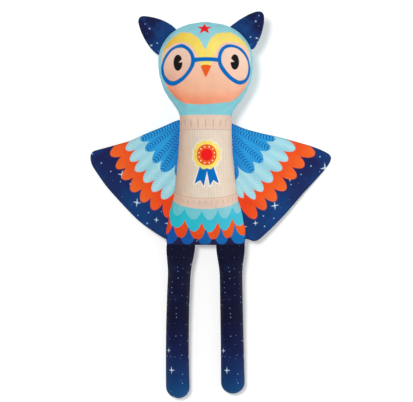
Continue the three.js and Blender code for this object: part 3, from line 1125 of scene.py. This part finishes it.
@dataclass(frozen=True)
class Rib(Line):
    """A ribbed edge of the sweater, beyond a line of stitches."""

    way: float  # 1 for a rib below the line, -1 for one above it
    pitch: float  # from one tick to the next
    ticks: Point  # from the line to where they start and end
    tick: str = "#B98974"
    tick_most: float = 0.7
    tick_share: Point = (0.1, 0.07)  # of the pitch: what a tick takes, and what each of its sides fades over
    tick_ends: Point = (1.5, 2.5)  # over which its ends fade
    dash: str = "#B9937D"
    dash_most: float = 0.65
    dash_pitch: float = 2.4
    dash_share: float = 0.6
    dash_edge: Point = (0.9, 0.3)  # from the line, where the stitches start and where they are full
    begins: Point = (-0.2, 0.6)  # from the line, where the rib starts and where it is full

    def over(self, p: ClothPrint, knit: Paint, shaded_wool: Paint) -> bpy.types.Node:
        """Draws the rib and its line of stitches.

        Args:
            p: The cloth.
            knit: What lies under them.
            shaded_wool: The rib's colour.

        Returns:
            The knit with its rib.
        """
        away = p.add(MATH, p.add(FIELD, attribute_name=self.field).outputs["Fac"], self.way, operation="MULTIPLY")
        start, end = self.ticks
        tick = p.stripes(p.across, self.pitch, *self.tick_share)
        for first, last in ((start, start + self.tick_ends[0]), (end, end - self.tick_ends[1])):
            tick = p.add(MATH, tick, p.add(RANGE, away, first, last), operation="MULTIPLY")
        tick = p.add(MATH, tick, self.tick_most, operation="MULTIPLY")
        # the rib's colour carries the sweater's painted shade
        knit = p.add(MIX, p.add(RANGE, away, *self.begins), knit, p.add(MIX, tick, shaded_wool, self.tick))
        line = p.add(RANGE, p.add(MATH, away, operation="ABSOLUTE"), *self.dash_edge, 0.0, self.dash_most)
        dashes = p.add(MATH, line, p.stripes(p.across, self.dash_pitch, self.dash_share), operation="MULTIPLY")
        return p.add(MIX, dashes, knit, self.dash)


@dataclass(frozen=True)
class BodyPrint:
    """The print of the head and the torso: hood, face, sweater and feathered skirt.

    Colours change along the flat cloth, up from the neck and across from the doll's right to its left. Much of the
    change across is painted light: the face, brow, sweater and skirt turn paler towards the doll's left.
    """

    face: FacePrint = FacePrint()
    rosette: Rosette = Rosette()
    chin: float = 100.0  # height as seen from above, between the rosette and the face
    collar: Line = Line("hood", 94.0, -0.001)
    sweater_end: Line = Line("sweater", -19.0, 0.0045)
    ribs: tuple[Rib, ...] = (
        Rib("hem_stitches", -6.2, 0.003, 1.0, 7.0, (2.2, 8.2)),
        Rib("collar_stitches", 76.3, -0.0003, -1.0, 9.0, (2.5, 13.5)),
    )
    rib_tint: float = 0.55
    rows: tuple[ScallopRow, ...] = (
        ScallopRow("blue_tips", (-32.3, -12.1, 10.1, 28.5), -62.2, 12.0, 2.6, 0.0008, ("#1552A2", "#1273BA")),
        ScallopRow("orange_tips", (-40, -20.9, 0.4, 18.7, 35.2), -55.6, 16.0, 2.8, 0.0024, ("#F0481D", "#F4601F")),
        ScallopRow("teal_tips", (-25.3, -4.8, 14.6, 31.8), -47.0, 12.0, 2.3, 0.0043, ("#26C0D0", "#44C4DC")),
        ScallopRow("pale_tips", (-25.3, -4.8, 14.6, 31.8), -32.5, 11.5, 2.3, 0.0043, ("#6CCAD2", "#8FD1DE")),
    )
    # across which the skirt's rows run from painted shade to painted light
    skirt_span: Point = (-40.0, 40.0)
    pale_side: tuple[float, ...] = (-30.0, 50.0, 0.0, 0.5)  # painted light: across the face, where it turns pale towards the doll's left, and how far
    blush_rim: tuple[float, ...] = (-18.0, -1.0, 0.0, 0.75)  # inside the cheeks' edge, and its strength there
    blush_height: Point = (56.0, 26.0)
    blush_side: tuple[float, ...] = (-35.0, 45.0, 1.0, 0.5)

    def write(self, body: StuffedTube, mesh: bpy.types.Mesh) -> None:
        """Writes the print's fields on the skin.

        Args:
            body: The skin's form.
            mesh: Its mesh.
        """
        cloth = field_of(mesh, "print")[:, :2]
        front = field_of(mesh, "panel") > 0
        chin = body.cloth_from_above([(0.0, self.chin)])[0][1]
        drawn: dict[str, np.ndarray] = {}
        for motif, region in ((self.face, cloth[:, 1] > chin), (self.rosette, cloth[:, 1] < chin)):
            for name, values in motif.fields(body, cloth[front & region]).items():
                drawn.setdefault(name, np.full(len(cloth), FAR))[front & region] = values
        for name, values in drawn.items():
            set_field(mesh, name, values)
        seen = coordinates(mesh)[:, 1] / MM
        for line in (self.sweater_end, self.collar, *self.ribs):
            set_field(mesh, line.field, line.height - seen + line.sag * cloth[:, 0] ** 2)
        for row in self.rows:
            set_field(mesh, row.field, row.edge(body, cloth[:, 0]) - seen)

    def material(self) -> bpy.types.Material:
        """Dyes the cloth.

        Returns:
            The material.
        """
        p = ClothPrint("printed_velour_body")
        colour: Paint = NightSky(dark="#231F4A", haze_from=0.6).over(p)
        for row in self.rows:
            # painted light: each row of tips is darker at the doll's right and paler at its left
            shade = p.add(MIX, p.add(RANGE, p.across, *self.skirt_span), *row.colours)
            colour = p.add(MIX, p.inside(row.field), colour, shade)
        hood = p.faded(p.up, (0.0, "#86D0DA"), (30.0, "#93D3DE"), (80.0, "#9AD8E2"), (130.0, "#8FD2DC"))
        # painted shade: the brow is darker towards the doll's right and paler towards its left
        shaded_gold = p.faded(p.across, (-50.0, "#F0BE3F"), (-20.0, "#F8D95C"), (10.0, "#FBE473"), (50.0, "#F9DE6B"))
        glass = p.faded(p.up, (36.0, "#F4B598"), (60.0, "#F2C7B0"), (80.0, "#EFCFBB"))
        # painted light: the lenses turn paler towards the doll's left
        glass = p.add(MIX, p.add(RANGE, p.across, *self.pale_side), glass, "#FDDBC6")
        layers = {
            "sweater": self.sweater(p), "hood": hood, "cream": "#F3E9DC", "peach": self.skin(p), "yellow": shaded_gold,
            "lens": glass, "ink": "#121416", "blue": "#006CBC", "orange": "#EE5F22", "red": "#F01A1E",
            "dots": "#FFF3D8",
        }
        for name, dye in layers.items():
            colour = p.add(MIX, p.inside(name), colour, dye)
        return p.finished(colour)

    def skin(self, p: ClothPrint) -> bpy.types.Node:
        """Shades the face, with a blush inside the lower edge of the cheeks that is stronger towards the doll's
        right, and with painted light that makes it paler towards the doll's left.

        Args:
            p: The cloth.

        Returns:
            Its colour.
        """
        skin = p.faded(
            p.up, (8.0, "#FDAB82"), (26.0, "#FCB792"), (48.0, "#F9C4A4"), (72.0, "#F3CBB4"), (90.0, "#EFC8B4")
        )
        # painted light: the face turns paler towards the doll's left
        skin = p.add(MIX, p.add(RANGE, p.across, *self.pale_side), skin, "#FDCFB2")
        blush = p.add(RANGE, p.add(FIELD, attribute_name="peach").outputs["Fac"], *self.blush_rim)
        for value, span in ((p.up, self.blush_height), (p.across, self.blush_side)):
            blush = p.add(MATH, blush, p.add(RANGE, value, *span), operation="MULTIPLY")
        return p.add(MIX, blush, skin, "#FA8159")

    def sweater(self, p: ClothPrint) -> bpy.types.Node:
        """Draws the knitted sweater with its ribbed collar and hem, with painted shade that darkens it towards its
        sides, most at the doll's right.

        Args:
            p: The cloth.

        Returns:
            Its colour.
        """
        # painted shade: the wool darkens towards the doll's right and a little towards its left edge
        shaded_wool = p.faded(p.across, (-44.0, "#D3AF96"), (-12.0, "#EADBC9"), (14.0, "#EADBC9"), (46.0, "#E9D1BE"))
        knit = Knit().over(p, shaded_wool)
        tinted = p.add(MIX, self.rib_tint, shaded_wool, "#E4BBA6")
        for rib in self.ribs:
            knit = rib.over(p, knit, tinted)
        return knit


# Wings


@dataclass(frozen=True)
class FeatherRow:
    """A row of printed feathers across a wing, from its upper edge to the torso, in the wing's own plane."""

    field: str
    tips: tuple[Point, ...]
    lean: Point  # directions of the first and the last feather, in degrees below the wing's X
    end: float = 16.5  # over which a feather narrows to its tip
    curl: float = 0.0  # radius of the arcs across it
    half_share: float = 0.475  # half its width, of the gap from its tip to the next
    most_gap: float = 18.5

    def fields(self, cloth: np.ndarray) -> dict[str, np.ndarray]:
        """Distance to the feathers, and the place along and across the nearest one.

        Args:
            cloth: Places on the flat cloth.

        Returns:
            The three fields.
        """
        tips = np.array(self.tips)
        far = np.full(len(cloth), np.inf)
        along, across = np.zeros(len(cloth)), np.zeros(len(cloth))
        for number, turn in enumerate(np.radians(np.linspace(*self.lean, len(tips)))):
            tip = tips[number]
            way, side = np.array([math.cos(turn), -math.sin(turn)]), np.array([math.sin(turn), math.cos(turn)])
            back, beside = (tip - cloth) @ way, (cloth - tip) @ side
            gaps = [abs((tips[other] - tip) @ side) for other in (max(number - 1, 0), min(number + 1, len(tips) - 1))]
            above, below = gaps[0] or gaps[1], gaps[1] or gaps[0]
            half = self.half_share * np.minimum(np.where(beside > 0, above, below), self.most_gap)
            here = np.hypot(np.minimum(back - self.end, 0) * half / self.end, beside) - half
            nearer = here < far
            far = np.where(nearer, here, far)
            curled = self.curl - np.sqrt(np.maximum(self.curl**2 - beside**2, 0))
            along = np.where(nearer, back + curled, along)
            across = np.where(nearer, beside, across)
        return {self.field: far, f"{self.field}_along": along, f"{self.field}_across": across}


@dataclass
class Wing(StuffedFin):
    """A padded wing, printed with three rows of feathers over a night sky."""

    rows: tuple[FeatherRow, ...] = ()

    def write(self, mesh: bpy.types.Mesh) -> None:
        """Writes the print's fields on the wing.

        Args:
            mesh: Its mesh.
        """
        cloth = field_of(mesh, "print")[:, :2]
        for row in self.rows:
            for name, values in row.fields(cloth).items():
                set_field(mesh, name, values)


@dataclass(frozen=True)
class WingPrint:
    """The print of both wings: rows of orange, pale and blue feathers over a night sky."""

    sky: NightSky = NightSky(
        haze="#123F7C", haze_from=0.4, haze_spread=0.25, haze_pitch=45.0, star="#8DBBE2", dot_pitch=13.0,
        dot_size=1.5, glint_pitch=22.0, glint_size=8.0,
    )
    red_span: tuple[float, ...] = (32.0, 4.0, 0.0, 0.7)  # where the orange turns to red, and how far
    barb_lean: float = 0.9
    barb_pitch: float = 2.7
    barb_share: Point = (0.3, 0.3)
    barb_most: float = 0.55
    arc_pitch: float = 3.7
    arc_share: Point = (0.32, 0.14)
    arc_edge: Point = (3.8, 3.2)  # from a feather's middle, where its arcs start and where they are full
    blue_span: Point = (-4.0, 12.0)

    def material(self) -> bpy.types.Material:
        """Dyes the cloth.

        Returns:
            The material.
        """
        p = ClothPrint("printed_velour_wings")
        along, across = {}, {}
        for row in ("orange_row", "light_row", "mid_row"):
            along[row] = p.add(FIELD, attribute_name=f"{row}_along").outputs["Fac"]
            beside = p.add(FIELD, attribute_name=f"{row}_across").outputs["Fac"]
            across[row] = p.add(MATH, beside, operation="ABSOLUTE")
        orange = p.faded(along["orange_row"], (0.0, "#F36A2A"), (22.0, "#F0521F"))
        orange = p.add(MIX, p.add(RANGE, p.across, *self.red_span), orange, "#F23C18")
        slant = p.add(MATH, across["light_row"], self.barb_lean, operation="MULTIPLY")
        slant = p.add(MATH, along["light_row"], slant, operation="ADD")
        barbs = p.stripes(slant, self.barb_pitch, *self.barb_share)
        barbs = p.add(MATH, barbs, self.barb_most, operation="MULTIPLY")
        pale = p.faded(across["light_row"], (0.0, "#A6DBE5"), (7.5, "#7CC7D9"))
        arcs = p.stripes(along["mid_row"], self.arc_pitch, *self.arc_share)
        arcs = p.add(MATH, arcs, p.add(RANGE, across["mid_row"], *self.arc_edge), operation="MULTIPLY")
        blue = p.add(MIX, p.add(RANGE, p.across, *self.blue_span), "#1B7CC8", "#2C9DDD")
        feathers = {
            "orange_row": orange,
            "light_row": p.add(MIX, barbs, pale, "#D6F0F2"),
            "mid_row": p.add(MIX, arcs, blue, "#12539B"),
        }
        colour: Paint = self.sky.over(p, p.faded(p.up, (-130.0, "#173468"), (-60.0, "#1B2356")))
        for name, dye in feathers.items():
            colour = p.add(MIX, p.inside(name), colour, dye)
        return p.finished(colour)


# The doll's forms, in each part's own plane, as half the width, the height and half the depth

BODY_RAILS: tuple[Rail, ...] = (
    ((0, 106, 0), (35.03, 106, 22.32), (56.5, 87.38, 36), (56.5, 57, 36)),
    ((56.5, 57, 36), (56.5, 21.09, 36), (31, 5, 21), (31, -7, 21)),
    ((31, 0, 21), (31, -32.33, 21), (33.97, -64.67, 26), (38.5, -97, 26)),
    ((38.5, -97, 26), (41.49, -118.33, 26), (50.5, -145, 12.88), (46.5, -161, 0.4)),
)


def leg_rails(length: float) -> tuple[Rail, ...]:
    """Form of a leg, from the flat seam at the hip to the round foot.

    Args:
        length: From the hip seam to the end of the foot.

    Returns:
        Its four rails, of which the first is tucked into the hem.
    """
    heel, top = 13.0 - length, 0.45
    points = (
        ((17, 2.6, 0.3), (17.1, 1.7, 0.35), (17.2, 0.9, 0.4), (17.25, 0, 0.5)),
        ((17.25, 0, 0.5), (17.25, -12, 8.8), (13.6, -24, 12.5), (13.6, -36, 12.5)),
        ((13.6, -36, 12.5), (13.6, heel + 30, 12.5), (14.2, heel + 15, 12.5), (14.2, heel, 12.5)),
        ((14.2, heel, 12.5), (14.2, heel - 7.18, 12.5), (7.83, -length, 6.9), (0, -length, 0)),
    )
    return tuple(tuple((x, y - top, z) for x, y, z in rail) for rail in points)


@dataclass(frozen=True)
class EarForm:
    """What differs between the two ears."""

    seat: Seat
    middle: float  # of its root, by the length along the head's edge from the top
    free: tuple[Point, ...]


@dataclass(frozen=True)
class WingForm:
    """What differs between the two wings."""

    seat: Seat
    top: float  # of its root, down from the neck
    free: tuple[Point, ...]
    rows: tuple[FeatherRow, ...]


@dataclass(frozen=True)
class LegForm:
    """What differs between the two legs."""

    seat: Seat
    length: float
    bow: float


EARS = {
    Side.LEFT: EarForm(
        Seat((44.615, 189.095, 37.763), (0.69691, -0.71564, -0.04657), (0.71716, 0.69544, 0.04525)), 48.0, (
            (20.6, -1.7), (18.3, 7.5), (13.9, 17.8), (7.7, 27.4), (2.6, 33.1), (-1.4, 35.7), (-5, 35.6),
            (-8.5, 32.7), (-11.9, 26.3), (-14.4, 18.5), (-16.4, 10.4), (-18.1, -1.6),
        ),
    ),
    Side.RIGHT: EarForm(
        Seat((-49.423, 183.179, 37.378), (0.55759, 0.82836, 0.0539), (-0.83012, 0.55641, 0.03621)), 55.5, (
            (18.9, -1.1), (17.4, 8), (12.6, 19.7), (6.6, 29.7), (1.1, 36.6), (-2.5, 39.6), (-6.6, 40.1),
            (-9.8, 37.9), (-13.2, 31.8), (-16.5, 23.7), (-19, 14.5), (-20, 3.1),
        ),
    ),
}
WINGS = {
    Side.LEFT: WingForm(
        Seat((32.375, 84.512, 30.957), (0.96464, 0.12709, -0.23093), (-0.11515, 0.99125, 0.0645)), 14.0, (
            (2.4, -141.4), (6.8, -144.2), (12.1, -144.9), (17.3, -142.7), (25.3, -137.2), (33.3, -131.6),
            (48.7, -119.7), (63.4, -107.1), (77.9, -94.2), (92.9, -82), (107.6, -69.4), (113.8, -62.6),
            (116.1, -57.9), (114.5, -53), (109, -48.9), (99.7, -43.5), (89, -38.4), (70.7, -30.8), (52.5, -23.5),
            (33.7, -17), (15.3, -9.6),
        ),
        (
            FeatherRow("orange_row", (
                (95.7, -50.7), (80.2, -63), (68.6, -74.8), (54.2, -87.9), (40.6, -99.1), (26.3, -107.9),
                (13.6, -117.9),
            ), (26, 64), 18),
            FeatherRow("light_row", (
                (72.2, -41.1), (60.7, -53.3), (52.1, -63.1), (38.4, -75.8), (25.4, -85.7), (15, -94.1), (1.5, -91),
            ), (28, 64)),
            FeatherRow("mid_row", (
                (49.2, -26.8), (41.1, -37), (29.3, -51.4), (16.4, -62.2), (-6.7, -69.8),
            ), (24, 76), curl=3.8, most_gap=22),
        ),
    ),
    Side.RIGHT: WingForm(
        Seat((-32.321, 88.5, 31.217), (0.95871, -0.12526, 0.25531), (0.11237, 0.99157, 0.06452)), 10.0, (
            (-1, -145.2), (17.2, -137.2), (34.4, -127.9), (50.2, -116.3), (65.4, -103.9), (80.1, -91.3),
            (93.3, -77.3), (101.1, -68), (103.8, -61.3), (104.1, -56.3), (102.3, -52), (97.2, -49.3),
            (88.2, -45.8), (74.7, -40.3), (56.2, -32.5), (39.2, -22.2), (21.6, -12.7), (4.5, -2.8),
        ),
        (
            FeatherRow("orange_row", (
                (78.9, -52.3), (68.4, -67.3), (59.5, -79), (46.4, -92.6), (32.3, -103.5), (18.3, -111.7),
                (0.4, -119.1),
            ), (33, 82), 18),
            FeatherRow("light_row", (
                (60.6, -43.5), (52.3, -56.3), (44.6, -67.4), (32, -79.3), (20.8, -89.1), (8.3, -97.2),
            ), (36, 62)),
            FeatherRow("mid_row", (
                (43.3, -30.8), (35.1, -42), (23.3, -55.2), (12.4, -64.5), (-10, -72.1),
            ), (34, 80), curl=3.8, most_gap=22),
        ),
    ),
}
LEGS = {
    Side.LEFT: LegForm(
        Seat((29.75, -62.765, 21.374), (0.99985, 0.01742, 0.00099), (-0.01745, 0.99823, 0.0568)), 178.0, 0.0
    ),
    Side.RIGHT: LegForm(
        Seat((-29.75, -62.765, 21.374), (0.99985, -0.01743, -0.00096), (0.01745, 0.99834, 0.05497)), 183.5, -2.4
    ),
}


@dataclass
class Doll:
    """The whole doll."""

    body: StuffedTube = field(default_factory=lambda: StuffedTube(
        "body_skin", Seat((0, 98.344, 31.858), (1, 0, 0), (0, 0.99789, 0.06494)),
        rails=BODY_RAILS, columns=36, rows=84, stuffing=Stuffing(most_moved=1.5),
    ))
    neck: float = 20.0  # reach of its bending to each side
    tuck: float = 1.5  # how far the root of an ear or a wing goes into the seam
    seam_bend: float = 12.0  # over which a limb bends beside its seam
    slope_reach: float = 0.05  # to each side of a point, for the direction of the seam there
    ear_root: float = 39.0  # length of an ear's root
    ear_points: int = 13  # along its root
    ear_hinge: float = 0.8  # from the seam out to the line that an ear bends about
    wing_end: float = 154.0  # of a wing's root, down from the neck
    wing_hinge: float = 1.2
    wing_points: int = 30

    def build(self) -> None:
        """Builds every part, dresses it and puts it on its body."""
        self.build_body()
        ear_cloth = night_cloth(
            "printed_velour_ears",
            NightSky(haze="#17407C", haze_pitch=20.0, dot_size=1.5, dot_pitch=9.5, glint_pitch=17.0, glint_size=2.8),
            (2.0, "#163F7A"), (19.0, "#171D48"),
        )
        leg_cloth = night_cloth(
            "printed_velour_legs",
            NightSky(haze="#1A3668", haze_from=0.56, star="#8FA9CB", dot_pitch=7.2, dot_size=0.9, glint_pitch=33.0),
            (-185.0, "#124F82"), (-165.0, "#11366A"), (-130.0, "#121945"), (-90.0, "#0D102E"), (-50.0, "#0E1130"),
            (-5.0, "#0E0F2A"),
        )
        wing_cloth = WingPrint().material()
        for side in Side:
            self.build_ear(side, ear_cloth)
            self.build_wing(side, wing_cloth)
            self.build_leg(side, leg_cloth)

    def dress(self, item: bpy.types.Object, cloth: bpy.types.Material, slot: str, fill: float, *parts: str) -> None:
        """Gives a part its cloth and hides the imported pieces that it stands for.

        Args:
            item: The part.
            cloth: Its material.
            slot: Not used.
            fill: Not used.
            parts: The subcomponents that it shows.
        """
        item.data.materials.clear()
        item.data.materials.append(cloth)
        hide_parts(*(f"{part}_{piece}" for part in parts for piece in ("front_panel", "back_panel", "filling")))

    def build_body(self) -> None:
        """Builds the head and the torso in one skin, which on the real doll bend at the neck."""
        item = self.body.build()
        prints = BodyPrint()
        prints.write(self.body, item.data)
        self.dress(item, prints.material(), "sweater_print", 0.85, "torso", "head")
        self.body.seat.spot(0, -self.neck)
        self.body.seat.spot(0, self.neck)
        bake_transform(item)

    def build_ear(self, side: Side, cloth: bpy.types.Material) -> None:
        """Builds an ear, sewn to the upper edge of the head.

        Args:
            side: Its side.
            cloth: Its material.
        """
        form = EARS[side]
        brow = bezier(BODY_RAILS[0], BROW_STEPS)[:, :2]
        marks = form.middle + self.ear_root * (np.linspace(0, 1, self.ear_points) - 0.5)
        steps = (0, self.slope_reach, -self.slope_reach)
        points, ahead, behind = (resampled(brow, marks + step) for step in steps)
        run = (ahead - behind) / np.linalg.norm(ahead - behind, axis=1, keepdims=True)
        out = np.stack([-run[:, 1], run[:, 0]], axis=1)
        half = len(marks) // 2
        hinge = points[half] + self.ear_hinge * out[half]
        root = (points - self.tuck * out - hinge) @ np.stack([run[half], out[half]], axis=1)
        ear = StuffedFin(
            f"ear_{side.word}", form.seat, side=side, root=root, free=form.free, depth=12.0, fullness=2.0, cells=26,
            stuffing=Stuffing(most_moved=1.2),
        )
        item = ear.build()
        self.dress(item, cloth, "night_print", 0.5, ear.name)
        ear.seat.spot(0, -2)
        ear.seat.spot(0, self.seam_bend)
        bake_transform(item)

    def build_wing(self, side: Side, cloth: bpy.types.Material) -> None:
        """Builds a wing, sewn along the side of the torso.

        Args:
            side: Its side.
            cloth: Its material.
        """
        form = WINGS[side]
        down = np.linspace(form.top, self.wing_end, self.wing_points)
        sewn = np.stack([self.body.half_width(-down), -down], axis=1)
        top, bottom = sewn[0], sewn[-1]
        rise = (top - bottom) / np.linalg.norm(top - bottom)
        out = np.array([rise[1], -rise[0]])
        root = (sewn - np.array([self.tuck, 0]) - top - self.wing_hinge * out) @ np.stack([out, rise], axis=1)
        wing = Wing(
            f"wing_{side.word}", form.seat, side=side, root=root, free=form.free, depth=11.0, fullness=3.0, cells=44,
            rows=form.rows, stuffing=Stuffing(most_moved=1.6),
        )
        item = wing.build()
        wing.write(item.data)
        self.dress(item, cloth, "feather_print", 0.4, wing.name)
        start, end = -2.0 * side.value, self.seam_bend * side.value
        wing.seat.spot(start, 0)
        wing.seat.spot(end, 0)
        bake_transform(item)

    def build_leg(self, side: Side, cloth: bpy.types.Material) -> None:
        """Builds a leg, sewn at its flat seam into the hem, where the real leg swings.

        Args:
            side: Its side.
            cloth: Its material.
        """
        form = LEGS[side]
        leg = StuffedTube(
            f"leg_{side.word}", form.seat, rails=leg_rails(form.length), columns=14, rows=60, bow=form.bow,
            surface=Surface(lump=0.35, pucker=0.2),
        )
        item = leg.build()
        self.dress(item, cloth, "night_print", 0.85, leg.name)
        leg.seat.spot(0, 2)
        leg.seat.spot(0, -self.seam_bend)
        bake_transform(item)


@dataclass(frozen=True)
class Lamp:
    """A lamp as far away as the sun, with the angle in degrees over which its light is spread."""

    name: str
    strength: float
    spread: float
    towards: Point3
    shadow: bool = True

    def hang(self, scene: bpy.types.Scene) -> None:
        """Adds the lamp to a scene.

        Args:
            scene: The scene.
        """
        lamp = bpy.data.lights.new(self.name, "SUN")
        lamp.energy = self.strength
        lamp.angle = math.radians(self.spread)
        lamp.use_shadow = self.shadow
        item = bpy.data.objects.new(self.name, lamp)
        item.rotation_mode = "QUATERNION"
        item.rotation_quaternion = Vector(self.towards).to_track_quat("Z", "Y")
        scene.collection.objects.link(item)


def seen_rays(tree: bpy.types.NodeTree) -> bpy.types.Node:
    """Finds the rays that show a surface, straight or in gloss and glass, and not those that only light by it.

    Args:
        tree: The node tree.

    Returns:
        1 for a ray that shows the surface.
    """
    rays = add_node(tree, "ShaderNodeLightPath")
    seen = add_node(tree, MATH, rays.outputs["Is Camera Ray"], rays.outputs["Is Glossy Ray"], operation="MAXIMUM")
    return add_node(tree, MATH, seen, rays.outputs["Is Transmission Ray"], operation="MAXIMUM")


@dataclass(frozen=True)
class Stage:
    """Floor, lights and camera."""

    floor_size: float = 6.0
    floor_glow: float = 0.235  # brings the floor to white in the picture
    sky: float = 0.38
    lamps: tuple[Lamp, ...] = (
        Lamp("window", 1.6, 14.0, (-0.22, 0.2, 1.0)),
        Lamp("fill", 1.15, 50.0, (1.0, -0.1, 0.32), shadow=False),
    )
    camera_height: float = 12.0
    aim: Point3 = (0.00096, -0.00949, 0.032)
    frame_width: float = 0.4956
    sensor: float = 36.0
    clip_end: float = 50.0

    def build(self) -> None:
        """Lays the floor, hangs the lights and sets the camera."""
        scene = bpy.context.scene
        scene.view_settings.view_transform = "Standard"
        self.lay_floor()
        self.light(scene)
        view = bpy.data.cameras.new("camera")
        view.sensor_width = self.sensor
        view.lens = self.camera_height * self.sensor / self.frame_width
        view.clip_end = self.clip_end
        camera = bpy.data.objects.new("camera", view)
        camera.location = (self.aim[0], self.aim[1], self.aim[2] + self.camera_height)
        scene.collection.objects.link(camera)
        scene.camera = camera

    def lay_floor(self) -> None:
        """Lays a white floor that keeps the doll's shadow."""
        bm = bmesh.new()
        bmesh.ops.create_grid(bm, x_segments=1, y_segments=1, size=self.floor_size / 2)
        floor = new_object("floor", bm)
        # Uncoated white paper on a roll: matt and even, with a soft shadow and no gloss
        material = bpy.data.materials.new("matt_white_paper")
        tree = empty_tree(material)
        glow = add_node(tree, MATH, seen_rays(tree), self.floor_glow, operation="MULTIPLY")
        paper = add_node(tree, "ShaderNodeBsdfDiffuse", "#F2F2F2")
        shine = add_node(tree, "ShaderNodeEmission", "#FFFFFF", glow)
        add_node(tree, "ShaderNodeOutputMaterial", add_node(tree, "ShaderNodeAddShader", paper, shine))
        floor.data.materials.append(material)

    def light(self, scene: bpy.types.Scene) -> None:
        """Lights the scene from all round, from the upper left, and low and softly from the right.

        Args:
            scene: The scene.
        """
        scene.world = bpy.data.worlds.new("studio")
        tree = empty_tree(scene.world)
        level = add_node(tree, RANGE, seen_rays(tree), 0.0, 1.0, self.sky, 1.0)
        back = add_node(tree, "ShaderNodeBackground", "#FFFFFF", level)
        add_node(tree, "ShaderNodeOutputWorld", back)
        for lamp in self.lamps:
            lamp.hang(scene)


def main() -> None:
    """Builds the doll, its stage and its camera."""
    logging.basicConfig(level=logging.INFO, format="%(name)s: %(message)s")
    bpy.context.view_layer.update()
    Stage().build()
    Doll().build()


if __name__ == "__main__":
    main()
